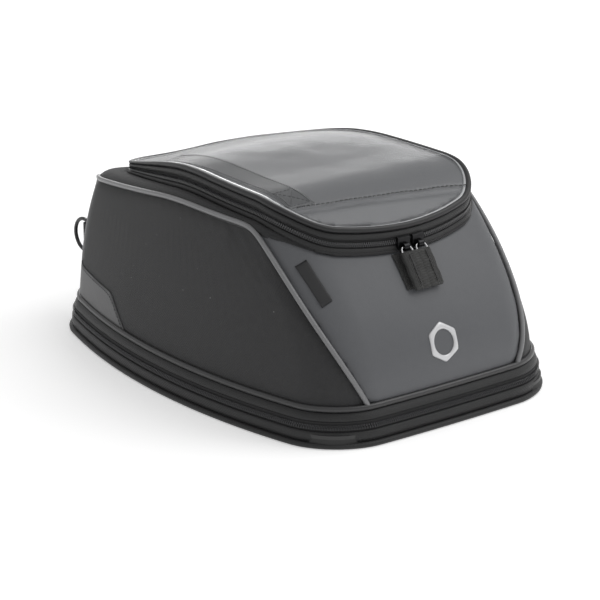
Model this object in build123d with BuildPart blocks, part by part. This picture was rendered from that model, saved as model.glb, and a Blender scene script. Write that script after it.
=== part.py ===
from build123d import *
from math import atan2, cos, degrees, radians, sin, sqrt, tan
import os

# Tank bag. Millimetres, +Z up, +X towards the end with the zip sliders, origin on the floor
# at the axis of the tank-ring socket. Right is -Y and left is +Y.

# ---- body: plan sections of the wall, from the foot seam up -------------------------------
foot_z = 28.0                 # height of the foot seam
bag_rear = -195.0             # foot seam, rear end
bag_front = 195.0             # foot seam, front end
foot_half_width = 138.0       # half width at the widest station
widest_x = -27.0              # station of the widest point
wall = 4.0                    # padded fabric wall
shoulder_top = 158.5          # level stretch of the shoulder
belly_z = foot_z + 30.0       # height of the fullest part of the front
brow_z = shoulder_top - 25.5  # where the front wall meets the mouth
waist_share = 0.61            # height of the waist as a share of the front wall
waist_z = foot_z + waist_share * (brow_z - foot_z)
crest_z = shoulder_top + 6.5
brow_setback = 49.0           # how far the front leans back at the brow
foot_half_rear = foot_half_width - 34.0    # half width at the rear end of the foot seam
foot_half_front = foot_half_width - 28.0
front_corner = 38.0           # plan radius of the front corners
rear_corner = 38.0            # plan radius of the rear corners

# section: height, rear x, front x, half widths at rear, middle and front, sag of the front edge
sections = [
    (foot_z, bag_rear, bag_front, foot_half_rear, foot_half_width, foot_half_front, 3.0),
    (belly_z, bag_rear - 2.0, bag_front - 1.0, foot_half_rear - 6.0, foot_half_width - 7.0,
     foot_half_front - 7.0, 6.0),
    (waist_z, bag_rear - 3.0, bag_front - 18.0, foot_half_rear - 12.0, foot_half_width - 14.0,
     foot_half_front - 10.0, 13.0),
    (brow_z, bag_rear + 3.0, bag_front - brow_setback, foot_half_rear - 20.0, foot_half_width - 22.0,
     foot_half_front - 12.0, 20.0),
    (crest_z, bag_rear + 15.0, bag_front - brow_setback, foot_half_rear - 30.0, foot_half_width - 33.0,
     foot_half_front - 22.0, 20.0),
]

# ---- side profile of the shoulder ---------------------------------------------------------
knee_x = bag_front - 97.5     # where it starts to fall to the front
saddle_x = widest_x + 5.5     # where it starts to fall to the rear
front_fall = tan(radians(27.0))
rear_shoulder_z = shoulder_top - 31.5   # corner of the profile above the rear wall
rear_shoulder_x = bag_rear - 3.0
knee_radius = 90.0
saddle_radius = 260.0
heel_radius = 26.0

# ---- mouth and lid, stacked up from the shoulder profile ----------------------------------
mouth_front = bag_front - brow_setback - 1.0   # zip centre line at the front
mouth_corner_x = mouth_front - 23.5            # front corner of the zip line before rounding
mouth_half_front = foot_half_front - 12.5
mouth_half_middle = foot_half_width - 45.0
mouth_middle_x = widest_x + 7.0
mouth_rear = bag_rear + 19.0
mouth_half_rear = foot_half_rear - 44.0
mouth_radius = 36.0
zip_half_width = 2.0          # thickness of tape and coil to each side of the zip line
band_half_width = 3.0
band_height = 3.0             # mouth band
zip_height = 3.5              # one half of the zip, tape and coil
zip_gap = 1.0                 # between the two halves
lid_band_height = 4.5
rim_height = 5.0              # piping round the lid
lid_thickness = 3.0
film_thickness = 2.0
strip_thickness = 1.2
strip_width = 26.0
strip_edge_gap = 5.0          # from the zip line to the strip, beside the rim
strip_rear_gap = 94.0
strip_front_gap = 36.0
lining_thickness = 1.2
hinge_length = 6.0            # stretch of the mouth taken by the fabric hinge

# ---- base ---------------------------------------------------------------------------------
pad_height = 8.0
board_thickness = 3.0
base_flare = 5.0              # base board beyond the foot seam
band_thickness = 3.0
binding_width = 6.0
binding_height = 4.0
base_band_top = 13.0
gusset_width = 5.0
gusset_inset = 2.0
gusset_bottom = 11.5
piping_bulge = 3.6
piping_height = 4.6

# ---- tank-ring socket ---------------------------------------------------------------------
socket_radius = 54.0
socket_rim = 14.0             # width of the rim that takes the screws
socket_outer_radius = socket_radius + socket_rim
socket_depth = 6.0
socket_clearance = 1.0
screw_circle = socket_radius + socket_rim / 2
screw_count = 4
screw_radius = 2.0
screw_head_radius = 4.0
screw_head_height = 2.4
screw_clearance = 0.2
nut_height = 3.2
nut_across = 7.0
plate_radius = socket_outer_radius + 4.0
plate_thickness = 2.0
latch_width = 15.0
latch_thickness = 2.4
latch_reach = 4.0             # how far the latch stands into the socket
latch_travel = 6.0
latch_clearance = 0.4
pull_length = 34.0

# ---- trims on the wall --------------------------------------------------------------------
side_piping_width = 4.0
side_piping_bulge = 2.5
panel_foot_half_width = foot_half_front - 34.0   # grey front panel, half width at the foot
panel_top_half_width = foot_half_front - 2.0     # and at the shoulder
edge_bow = 0.81               # how much of that spread the panel edge has at mid height
panel_front_x = knee_x - 31.5                    # where the front panel ends on the shoulder
rear_seam_x = bag_rear + 13.0
patch_front_x = widest_x - 33.0
patch_height = 28.0
patch_thickness = 1.2
trim_thickness = 1.0
emblem_radius = 16.0
emblem_line = 3.4
emblem_hole_share = 0.78      # hole radius as a share of the radius inside the line
emblem_z = foot_z + 38.0
label_length = 29.0           # seen from the front; the wall leans there
label_width = 10.0
label_z = brow_z - 12.5
label_inset = 16.0            # label centre inside the top of the panel edge
label_angle = 98.0
keeper_width = 28.0
keeper_length = 24.0

# ---- hardware -----------------------------------------------------------------------------
slider_length = 12.0
slider_spacing = 7.5          # slider centres to each side of the middle
slider_clearance = 0.5
slider_plate = 2.5
slider_back = 1.5
web_thickness = 0.4
bridge_length = 5.0
bridge_radius = 3.0
ring_wire = 2.0
ring_width = 12.6
ring_length = 15.0
ring_hole_clearance = 0.4
tab_width = 29.0
tab_length = 33.0
tab_thickness = 4.8
tab_start = 5.0
tab_slot_clearance = 0.5
d_ring_z = foot_z + 42.0
d_ring_y = foot_half_rear - 24.0
d_ring_radius = 14.5
d_ring_wire = 1.7
webbing_width = 25.0
webbing_thickness = 1.5
loop_reach = 10.0
exp_slider_y = 42.0
exp_pull_length = 12.0
exp_pull_width = 8.0
exp_pull_thickness = 1.6

half_span = 170.0             # half length of a cutter that runs across the bag
z_ceiling = 230.0

# ---- derived places -----------------------------------------------------------------------
chain = band_height + zip_height + zip_gap / 2           # zip line above the shoulder profile
lid_low = band_height + zip_height + zip_gap
rim_low = lid_low + zip_height + lid_band_height
rim_high = rim_low + rim_height
panel_low = rim_high - film_thickness - strip_thickness - lid_thickness
panel_high = panel_low + lid_thickness


def shoulder(x):
    """Height of the unrounded shoulder profile at a station."""
    if x > knee_x:
        return shoulder_top - front_fall * (x - knee_x)
    if x > saddle_x:
        return shoulder_top
    return shoulder_top - (shoulder_top - rear_shoulder_z) * (saddle_x - x) / (saddle_x - rear_shoulder_x)


def plan_face(section, grow):
    """Plan outline of the wall at one section, let out by grow."""
    height, rear, front, half_rear, half_middle, half_front, sag = section
    rear = rear - grow
    front = front + grow
    half_rear = half_rear + grow
    half_middle = half_middle + grow
    half_front = half_front + grow
    with BuildLine() as outline:
        ThreePointArc((rear, half_rear), (widest_x, half_middle), (front - sag, half_front))
        ThreePointArc((front - sag, half_front), (front, 0), (front - sag, -half_front))
        ThreePointArc((front - sag, -half_front), (widest_x, -half_middle), (rear, -half_rear))
        Line((rear, -half_rear), (rear, half_rear))
    make_face(outline.edges())
    fillet(vertices().group_by(Axis.X)[-1], front_corner + grow)
    fillet(vertices().group_by(Axis.X)[0], rear_corner + grow)


def mouth_face(grow):
    """Plan outline of the mouth on the zip line, let out by grow."""
    rear = mouth_rear - grow
    front = mouth_front + grow
    corner_x = mouth_corner_x + grow
    half_rear = mouth_half_rear + grow
    half_middle = mouth_half_middle + grow
    half_front = mouth_half_front + grow
    with BuildLine() as outline:
        ThreePointArc((rear, half_rear), (mouth_middle_x, half_middle), (corner_x, half_front))
        ThreePointArc((corner_x, half_front), (front, 0), (corner_x, -half_front))
        ThreePointArc((corner_x, -half_front), (mouth_middle_x, -half_middle), (rear, -half_rear))
        Line((rear, -half_rear), (rear, half_rear))
    make_face(outline.edges())
    fillet(vertices().group_by(Axis.X)[-1], mouth_radius + grow)


def profile_face(lift, grow=0.0, mode=Mode.ADD):
    """Everything under the shoulder profile lifted by lift, in side view."""
    far_x = bag_front + 40.0
    rear = rear_shoulder_x - grow
    with BuildLine() as outline:
        top = FilletPolyline(
            (far_x, shoulder(far_x) + lift),
            (knee_x, shoulder_top + lift),
            (saddle_x, shoulder_top + lift),
            (rear, rear_shoulder_z + lift),
            (rear, 0),
            radius=[knee_radius, saddle_radius, heel_radius + grow],
        )
        Line(top @ 1, (far_x, 0))
        Line((far_x, 0), top @ 0)
    make_face(outline.edges(), mode=mode)


def wall_block(grow, lift):
    """Solid body inside the wall let out by grow, under the shoulder profile."""
    with BuildPart() as block:
        for section in sections:
            with BuildSketch(Plane.XY.offset(section[0])):
                plan_face(section, grow)
        loft(ruled=True)
        with BuildSketch(Plane.XZ):
            profile_face(lift, grow)
        extrude(amount=half_span, both=True, mode=Mode.INTERSECT)
    return block.part


def slab(low, high):
    """Layer that follows the shoulder profile, between two heights above it."""
    with BuildPart() as layer:
        with BuildSketch(Plane.XZ):
            profile_face(high)
            profile_face(low, mode=Mode.SUBTRACT)
        extrude(amount=half_span, both=True)
    return layer.part


def mouth_ring(inner, outer, low, high):
    """Ring that follows the mouth, between two offsets and two heights."""
    with BuildPart() as ring:
        with BuildSketch(Plane.XY.offset(foot_z)):
            mouth_face(outer)
        extrude(amount=z_ceiling)
        if inner is not None:
            with BuildSketch(Plane.XY.offset(foot_z)):
                mouth_face(inner)
            extrude(amount=z_ceiling, mode=Mode.SUBTRACT)
        add(slab(low, high), mode=Mode.INTERSECT)
    return ring.part


def foot_ring(inner, outer, low, high):
    """Level ring round the foot outline, or a plate where inner is None."""
    with BuildPart() as ring:
        with BuildSketch(Plane.XY.offset(low)):
            plan_face(sections[0], outer)
        extrude(amount=high - low)
        if inner is not None:
            with BuildSketch(Plane.XY.offset(low)):
                plan_face(sections[0], inner)
            extrude(amount=high - low, mode=Mode.SUBTRACT)
    return ring.part


def block_between(low_corner, high_corner):
    """Plain block between two corners, used as a cutter."""
    sizes = [b - a for a, b in zip(low_corner, high_corner)]
    middle = [(a + b) / 2 for a, b in zip(low_corner, high_corner)]
    with BuildPart() as block:
        with BuildSketch(Plane.XY.offset(low_corner[2])):
            with Locations((middle[0], middle[1])):
                Rectangle(sizes[0], sizes[1])
        extrude(amount=sizes[2])
    return block.part


def keep(piece, label):
    """Name a finished piece and write it."""
    piece.label = label
    export_step(piece, "parts/" + label + ".step")


def mirrored(piece):
    """The same piece on the other side of the bag."""
    with BuildPart() as twin:
        add(piece)
        mirror(about=Plane.XZ, mode=Mode.REPLACE)
    return twin.part


def panel_edge_face(shift, side):
    """Front view region outside the front panel's edge, on one side of the bag."""
    foot = side * (panel_foot_half_width + shift)
    middle = side * (panel_foot_half_width + edge_bow * (panel_top_half_width - panel_foot_half_width) + shift)
    top = side * (panel_top_half_width + shift)
    outer = side * half_span
    with BuildLine() as outline:
        edge = ThreePointArc((foot, foot_z), (middle, (foot_z + shoulder_top) / 2), (top, shoulder_top))
        Line(edge @ 1, (top, z_ceiling))
        Line((top, z_ceiling), (outer, z_ceiling))
        Line((outer, z_ceiling), (outer, foot_z))
        Line((outer, foot_z), edge @ 0)
    make_face(outline.edges())


def side_region(inset, side):
    """Everything that belongs to one side panel, drawn in by inset."""
    with BuildPart() as region:
        with BuildSketch(Plane.XZ.offset(-side * half_span)):
            profile_face(-2.0 - inset, -inset)
        extrude(amount=side * (half_span - mouth_half_rear - inset))
        with BuildSketch(Plane.XY):
            with Locations((half_span + 50.0, 0)):
                Rectangle(2 * half_span + 100.0, 2 * half_span)
            with Locations((rear_seam_x + inset - 50.0, 0)):
                Rectangle(100.0, 2 * half_span)
        extrude(amount=z_ceiling, mode=Mode.SUBTRACT)
        with BuildSketch(Plane.YZ):
            panel_edge_face(inset, side)
        extrude(amount=bag_front + 20.0)
    return region.part


os.makedirs("parts", exist_ok=True)

# ---- wall blocks and cutters --------------------------------------------------------------
outside = wall_block(0.0, 0.0)
inside = wall_block(-wall, -wall)
lined_inside = wall_block(-wall - lining_thickness, -wall - lining_thickness)
mouth_hole = mouth_ring(None, -band_half_width - 1.0, -60.0, 60.0)
right_region = side_region(0.0, -1)
left_region = mirrored(right_region)
front_zone = block_between((panel_front_x, -half_span, 0), (bag_front + 30.0, half_span, z_ceiling))
rear_zone = block_between((bag_rear - 30.0, -half_span, 0), (rear_seam_x, half_span, rear_shoulder_z - 4.0))

# The whole fabric wall, open at the foot and at the mouth
with BuildPart() as shell:
    add(outside)
    add(inside, mode=Mode.SUBTRACT)
    add(mouth_hole, mode=Mode.SUBTRACT)

with BuildPart() as side_panel_right:
    add(shell.part)
    add(right_region, mode=Mode.INTERSECT)
keep(side_panel_right.part, "side_panel_right")
keep(mirrored(side_panel_right.part), "side_panel_left")

with BuildPart() as end_walls:
    add(shell.part)
    add(right_region, mode=Mode.SUBTRACT)
    add(left_region, mode=Mode.SUBTRACT)

with BuildPart() as front_panel:
    add(end_walls.part)
    add(front_zone, mode=Mode.INTERSECT)
keep(front_panel.part, "front_panel")

with BuildPart() as rear_panel:
    add(end_walls.part)
    add(rear_zone, mode=Mode.INTERSECT)
keep(rear_panel.part, "rear_panel")

with BuildPart() as shoulder_panel:
    add(end_walls.part)
    add(front_zone, mode=Mode.SUBTRACT)
    add(rear_zone, mode=Mode.SUBTRACT)
keep(shoulder_panel.part, "shoulder_panel")

# Thin lining that backs the wall all over
with BuildPart() as lining:
    add(inside)
    add(lined_inside, mode=Mode.SUBTRACT)
    add(mouth_hole, mode=Mode.SUBTRACT)
keep(lining.part, "body_lining")

# ---- base ---------------------------------------------------------------------------------
board_bottom = pad_height
board_top = pad_height + board_thickness
plate_top = board_top + plate_thickness
channel_end = -socket_outer_radius - pull_length - latch_travel

with BuildPart() as base_pad:
    add(foot_ring(None, base_flare, 0.0, pad_height))
    Cylinder(socket_outer_radius + socket_clearance, 3 * pad_height, mode=Mode.SUBTRACT)
    with BuildSketch(Plane.XY):
        with Locations(((channel_end - socket_outer_radius) / 2, 0)):
            Rectangle(-channel_end - socket_outer_radius + 6.0, latch_width + 6.0)
    extrude(amount=pad_height - 2.0, mode=Mode.SUBTRACT)
keep(base_pad.part, "base_pad")

keep(foot_ring(base_flare, base_flare + binding_width, 0.0, binding_height), "base_binding")
keep(foot_ring(base_flare, base_flare + band_thickness, binding_height, base_band_top), "base_band")

with BuildPart() as screw_holes:
    with PolarLocations(screw_circle, screw_count, start_angle=45.0):
        Cylinder(screw_radius + screw_clearance, 6 * pad_height)

with BuildPart() as base_board:
    add(foot_ring(None, base_flare, board_bottom, board_top))
    add(screw_holes.part, mode=Mode.SUBTRACT)
keep(base_board.part, "base_board")

with BuildPart() as socket:
    Cylinder(socket_outer_radius, pad_height, align=(Align.CENTER, Align.CENTER, Align.MIN))
    Cylinder(socket_radius, socket_depth, align=(Align.CENTER, Align.CENTER, Align.MIN), mode=Mode.SUBTRACT)
    add(screw_holes.part, mode=Mode.SUBTRACT)
    with BuildSketch(Plane.XY):
        with PolarLocations(screw_circle, screw_count, start_angle=45.0):
            Circle(screw_head_radius + screw_clearance)
    extrude(amount=1.0 + screw_head_height, mode=Mode.SUBTRACT)
    with BuildSketch(Plane.XY.offset(2.0 - latch_clearance)):
        with Locations((-socket_outer_radius, 0)):
            Rectangle(2 * (socket_outer_radius - socket_radius) + 10.0, latch_width + 2 * latch_clearance)
    extrude(amount=latch_thickness + 2 * latch_clearance, mode=Mode.SUBTRACT)
keep(socket.part, "tank_ring_socket")

with BuildPart() as backing_plate:
    with BuildSketch(Plane.XY.offset(board_top)):
        Circle(plate_radius)
    extrude(amount=plate_thickness)
    add(screw_holes.part, mode=Mode.SUBTRACT)
keep(backing_plate.part, "backing_plate")

with BuildPart() as socket_screws:
    with BuildSketch(Plane.XY.offset(1.0)):
        with PolarLocations(screw_circle, screw_count, start_angle=45.0):
            Circle(screw_head_radius)
    extrude(amount=screw_head_height)
    with BuildSketch(Plane.XY.offset(1.0 + screw_head_height)):
        with PolarLocations(screw_circle, screw_count, start_angle=45.0):
            Circle(screw_radius)
    extrude(amount=plate_top + nut_height - screw_head_height)
keep(socket_screws.part, "socket_screws")

with BuildPart() as socket_nuts:
    with BuildSketch(Plane.XY.offset(plate_top)):
        with PolarLocations(screw_circle, screw_count, start_angle=45.0):
            RegularPolygon(nut_across / 2, 6, major_radius=False)
            Circle(screw_radius, mode=Mode.SUBTRACT)
    extrude(amount=nut_height)
keep(socket_nuts.part, "socket_nuts")

latch_inner = -socket_radius + latch_reach
with BuildPart() as socket_latch:
    with BuildSketch(Plane.XY.offset(2.0)):
        with Locations(((latch_inner - socket_outer_radius) / 2, 0)):
            Rectangle(latch_inner + socket_outer_radius, latch_width)
    extrude(amount=latch_thickness)
keep(socket_latch.part, "socket_latch")

with BuildPart() as latch_pull:
    with BuildSketch(Plane.XY.offset(2.0)):
        with Locations((-socket_outer_radius - pull_length / 2, 0)):
            Rectangle(pull_length, latch_width)
        with Locations((-socket_outer_radius - pull_length + 9.0, 0)):
            Rectangle(8.0, latch_width - 5.0, mode=Mode.SUBTRACT)
    extrude(amount=latch_thickness)
keep(latch_pull.part, "latch_pull")

# ---- expansion zip, gusset and foot trims -------------------------------------------------
zip_outer = base_flare + band_thickness
exp_middle = base_band_top + zip_height + zip_gap / 2
keep(foot_ring(base_flare - 1.0, zip_outer, base_band_top, base_band_top + zip_height), "expansion_zip_lower")
exp_upper_bottom = base_band_top + zip_height + zip_gap
exp_upper_top = exp_upper_bottom + zip_height
keep(foot_ring(base_flare - 1.0, zip_outer, exp_upper_bottom, exp_upper_top), "expansion_zip_upper")
keep(foot_ring(-wall, base_flare + 1.0, exp_upper_top, foot_z), "skirt_band")
gusset_outer = base_flare - 1.0 - gusset_inset
keep(foot_ring(gusset_outer - gusset_width, gusset_outer, gusset_bottom, exp_upper_top), "expansion_gusset")

with BuildPart() as foot_piping:
    add(foot_ring(None, piping_bulge, foot_z, foot_z + piping_height))
    add(outside, mode=Mode.SUBTRACT)
    add(inside, mode=Mode.SUBTRACT)
keep(foot_piping.part, "foot_piping")

# ---- trims that lie on the wall -----------------------------------------------------------


def wall_skin(thickness):
    """Thin layer on the outside of the wall, above the foot piping."""
    with BuildPart() as skin:
        add(wall_block(thickness, thickness))
        add(outside, mode=Mode.SUBTRACT)
        add(
            block_between(
                (bag_rear - 50.0, -half_span, 0),
                (bag_front + 50.0, half_span, foot_z + piping_height),
            ),
            mode=Mode.SUBTRACT,
        )
    return skin.part


with BuildPart() as side_piping:
    add(wall_skin(side_piping_bulge))
    add(side_region(-side_piping_width / 2, -1), mode=Mode.INTERSECT)
    add(side_region(side_piping_width / 2, -1), mode=Mode.SUBTRACT)
    add(mouth_ring(None, band_half_width, -60.0, 60.0), mode=Mode.SUBTRACT)
keep(side_piping.part, "side_piping_right")
keep(mirrored(side_piping.part), "side_piping_left")

patch_rear = rear_seam_x + side_piping_width / 2
with BuildPart() as corner_patch:
    with BuildSketch(Plane.XZ.offset(half_span)):
        with BuildLine():
            Polyline(
                (patch_rear, foot_z),
                (patch_front_x, foot_z),
                (patch_front_x - 20.0, foot_z + 15.0),
                (patch_front_x - 35.0, foot_z + patch_height),
                (patch_rear, foot_z + patch_height + 2.0),
                (patch_rear, foot_z),
            )
        make_face()
    extrude(amount=-half_span + mouth_half_rear)
    add(wall_skin(patch_thickness), mode=Mode.INTERSECT)
keep(corner_patch.part, "corner_patch_right")
keep(mirrored(corner_patch.part), "corner_patch_left")

trim_skin = wall_skin(trim_thickness)
hex_inner = emblem_radius - emblem_line
with BuildPart() as emblem:
    with BuildSketch(Plane.YZ):
        with Locations((0, emblem_z)):
            RegularPolygon(emblem_radius, 6)
            Circle(hex_inner * emblem_hole_share, mode=Mode.SUBTRACT)
    extrude(amount=bag_front + 20.0)
    add(trim_skin, mode=Mode.INTERSECT)
keep(emblem.part, "front_emblem")

label_y = -panel_top_half_width + label_inset
with BuildPart() as label_tag:
    with BuildSketch(Plane.YZ):
        with Locations(Location((label_y, label_z), label_angle)):
            Rectangle(label_length, label_width)
    extrude(amount=bag_front + 20.0)
    add(trim_skin, mode=Mode.INTERSECT)
keep(label_tag.part, "label_tag")

keeper_top = brow_z - 1.0
with BuildPart() as keeper_patch:
    with BuildSketch(Plane.YZ):
        with Locations((-5.0, keeper_top - keeper_length / 2)):
            Rectangle(keeper_width, keeper_length)
    extrude(amount=bag_front + 20.0)
    add(trim_skin, mode=Mode.INTERSECT)
keep(keeper_patch.part, "keeper_patch")

# ---- mouth and lid ------------------------------------------------------------------------
hinge_x = mouth_rear - zip_half_width
hinge_front_x = mouth_rear + hinge_length
hinge_z = shoulder(mouth_rear) + chain
before_hinge = block_between((hinge_front_x, -half_span, foot_z), (bag_front + 30.0, half_span, z_ceiling))
mouth_inner = -band_half_width - 1.0

keep(mouth_ring(mouth_inner, band_half_width, 0.0, band_height), "mouth_band")

with BuildPart() as main_zip_lower:
    add(mouth_ring(-zip_half_width, zip_half_width, band_height, band_height + zip_height))
    add(before_hinge, mode=Mode.INTERSECT)
keep(main_zip_lower.part, "main_zip_lower")

with BuildPart() as hinge_strip:
    add(mouth_ring(-zip_half_width, zip_half_width, band_height, band_height + zip_height))
    add(before_hinge, mode=Mode.SUBTRACT)
keep(hinge_strip.part, "lid_hinge_strip")

with BuildPart() as main_zip_upper:
    add(mouth_ring(-zip_half_width, zip_half_width, lid_low, lid_low + zip_height))
    add(before_hinge, mode=Mode.INTERSECT)
keep(main_zip_upper.part, "main_zip_upper")

with BuildPart() as lid_band:
    add(mouth_ring(-zip_half_width, 1.0, lid_low + 0.6, lid_low + zip_height))
    add(before_hinge, mode=Mode.SUBTRACT)
    add(mouth_ring(-zip_half_width, 1.0, lid_low + zip_height, rim_low))
keep(lid_band.part, "lid_band")

keep(mouth_ring(-band_half_width, band_half_width, rim_low, rim_high), "window_piping")
keep(mouth_ring(None, -band_half_width, panel_low, panel_high), "lid_panel")
keep(mouth_ring(None, -band_half_width, rim_high - film_thickness, rim_high), "window_film")
keep(mouth_ring(None, -band_half_width - 2.0, panel_low - 1.0, panel_low), "lid_lining")

strip_rear = mouth_rear + strip_rear_gap
strip_front = mouth_front - strip_front_gap
strip_middle_y = -mouth_half_middle + strip_edge_gap + strip_width / 2
with BuildPart() as window_strip:
    with BuildSketch(Plane.XY.offset(foot_z)):
        with Locations(((strip_rear + strip_front) / 2, strip_middle_y)):
            Rectangle(strip_front - strip_rear, strip_width)
    extrude(amount=z_ceiling)
    add(mouth_ring(None, -band_half_width - 1.0, panel_high, panel_high + strip_thickness), mode=Mode.INTERSECT)
keep(window_strip.part, "window_strip")

# ---- zip sliders, pull rings and tab ------------------------------------------------------
plate_inner = zip_half_width + slider_clearance
plate_outer = plate_inner + slider_plate
back_outer = -zip_half_width - slider_clearance
pivot_x = mouth_front + plate_outer + 1.8
pivot_z = shoulder(mouth_front) + chain - 4.0
hang = Vector(brow_setback - 19.0, 0, waist_z - brow_z).normalized()
outward = Vector(-hang.Z, 0, hang.X)


def station(middle_y, length):
    """Slice of the bag's front across a short length of the zip."""
    return block_between(
        (mouth_front - 30.0, middle_y - length / 2, foot_z),
        (mouth_front + 30.0, middle_y + length / 2, z_ceiling),
    )


def zip_slider(middle_y):
    """Slider on the front stretch: outer plate, thin web in the zip gap, inner plate and bridge."""
    with BuildPart() as plates:
        add(mouth_ring(plate_inner, plate_outer, band_height + 0.5, lid_low + zip_height + 1.5))
        add(mouth_ring(back_outer - slider_back, back_outer, band_height + 0.5, chain + web_thickness / 2))
        add(station(middle_y, slider_length), mode=Mode.INTERSECT)
    with BuildPart() as web:
        add(mouth_ring(back_outer - 0.5, plate_inner + 0.5, chain - web_thickness / 2, chain + web_thickness / 2))
        add(station(middle_y, slider_length - 4.0), mode=Mode.INTERSECT)
    with BuildPart() as slider:
        add(plates.part)
        add(web.part)
        with BuildSketch(Plane.XZ.offset(-middle_y - bridge_length / 2)):
            with Locations((pivot_x, pivot_z)):
                Circle(bridge_radius)
            with Locations((pivot_x - bridge_radius / 2 - 0.2, pivot_z)):
                Rectangle(bridge_radius, 2 * bridge_radius)
        extrude(amount=bridge_length)
        add(mouth_ring(None, plate_inner, -30.0, 30.0), mode=Mode.SUBTRACT)
        add(plates.part)
        add(web.part)
        with BuildSketch(Plane.XZ.offset(-middle_y - bridge_length)):
            with Locations((pivot_x, pivot_z)):
                Circle(ring_wire / sqrt(2) + ring_hole_clearance)
        extrude(amount=2 * bridge_length, mode=Mode.SUBTRACT)
    return slider.part


def hang_plane(middle_y, out):
    """Plane parallel to the hanging ring: local y runs down along the wall."""
    origin = (pivot_x + outward.X * out, middle_y, pivot_z + outward.Z * out)
    return Plane(origin=origin, x_dir=(0, 1, 0), z_dir=outward)


def hanging(distance):
    """Local y of a point at a distance down the wall from the pivot."""
    return -distance


def pull_ring(middle_y):
    """Flat wire ring that swings on the slider's bridge."""
    middle = hanging(ring_length / 2 - ring_wire / 2)
    with BuildPart() as ring:
        with BuildSketch(hang_plane(middle_y, -ring_wire / 2)):
            with Locations((0, middle)):
                RectangleRounded(ring_width, ring_length, 3.5)
                RectangleRounded(ring_width - 2 * ring_wire, ring_length - 2 * ring_wire, 1.5, mode=Mode.SUBTRACT)
        extrude(amount=ring_wire)
    return ring.part


ring_foot = ring_length - ring_wire / 2
right_ring = pull_ring(-slider_spacing)
left_ring = pull_ring(slider_spacing)
keep(zip_slider(-slider_spacing), "zip_slider_right")
keep(zip_slider(slider_spacing), "zip_slider_left")
keep(right_ring, "pull_ring_right")
keep(left_ring, "pull_ring_left")

# The tab is folded over the right ring; the left ring lies in a slot open to the left and above
with BuildPart() as pull_tab:
    with BuildSketch(hang_plane(0.0, -tab_thickness / 2)):
        with Locations((0, hanging(tab_start + tab_length / 2))):
            RectangleRounded(tab_width, tab_length, 2.0)
    extrude(amount=tab_thickness)
    with BuildSketch(hang_plane(0.0, -ring_wire / 2 - tab_slot_clearance)):
        with Locations((tab_width / 2, hanging(tab_start))):
            Rectangle(tab_width, 2 * (ring_foot - tab_start + 1.0))
    extrude(amount=ring_wire + 2 * tab_slot_clearance, mode=Mode.SUBTRACT)
    with BuildSketch(hang_plane(0.0, -ring_wire / 2)):
        with Locations((-slider_spacing, hanging(ring_length / 2 - ring_wire / 2))):
            RectangleRounded(ring_width, ring_length, 3.5)
            RectangleRounded(ring_width - 2 * ring_wire, ring_length - 2 * ring_wire, 1.5, mode=Mode.SUBTRACT)
    extrude(amount=ring_wire, mode=Mode.SUBTRACT)
keep(pull_tab.part, "pull_tab")

# ---- accessory rings on the rear wall -----------------------------------------------------
bar_x = bag_rear - loop_reach
with BuildPart() as ring_loop:
    with BuildSketch(Plane.XY.offset(d_ring_z - webbing_width / 2)):
        with BuildLine():
            Line((bar_x, -d_ring_y + d_ring_wire + webbing_thickness), (bag_rear + 20.0, -d_ring_y + 3.2))
            Line((bag_rear + 20.0, -d_ring_y + 3.2), (bag_rear + 20.0, -d_ring_y - 3.2))
            Line((bag_rear + 20.0, -d_ring_y - 3.2), (bar_x, -d_ring_y - d_ring_wire - webbing_thickness))
            ThreePointArc(
                (bar_x, -d_ring_y - d_ring_wire - webbing_thickness),
                (bar_x - d_ring_wire - webbing_thickness, -d_ring_y),
                (bar_x, -d_ring_y + d_ring_wire + webbing_thickness),
            )
        make_face()
        with Locations((bar_x, -d_ring_y)):
            Circle(d_ring_wire + 0.3, mode=Mode.SUBTRACT)
    extrude(amount=webbing_width)
    add(outside, mode=Mode.SUBTRACT)
    add(inside, mode=Mode.SUBTRACT)
keep(ring_loop.part, "ring_loop_right")
keep(mirrored(ring_loop.part), "ring_loop_left")

with BuildPart() as d_ring:
    with BuildLine() as bow:
        Line((bar_x, -d_ring_y, d_ring_z - d_ring_radius), (bar_x - 4.0, -d_ring_y, d_ring_z - d_ring_radius))
        ThreePointArc(
            (bar_x - 4.0, -d_ring_y, d_ring_z - d_ring_radius),
            (bar_x - 4.0 - d_ring_radius, -d_ring_y, d_ring_z),
            (bar_x - 4.0, -d_ring_y, d_ring_z + d_ring_radius),
        )
        Line((bar_x - 4.0, -d_ring_y, d_ring_z + d_ring_radius), (bar_x, -d_ring_y, d_ring_z + d_ring_radius))
    with BuildSketch(Plane(origin=(bar_x, -d_ring_y, d_ring_z - d_ring_radius), z_dir=(-1, 0, 0))):
        Circle(d_ring_wire)
    sweep(path=bow.line)
    with BuildSketch(Plane.XY.offset(d_ring_z - d_ring_radius - d_ring_wire)):
        with Locations((bar_x, -d_ring_y)):
            Circle(d_ring_wire)
    extrude(amount=2 * (d_ring_radius + d_ring_wire))
keep(d_ring.part, "d_ring_right")
keep(mirrored(d_ring.part), "d_ring_left")

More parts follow.
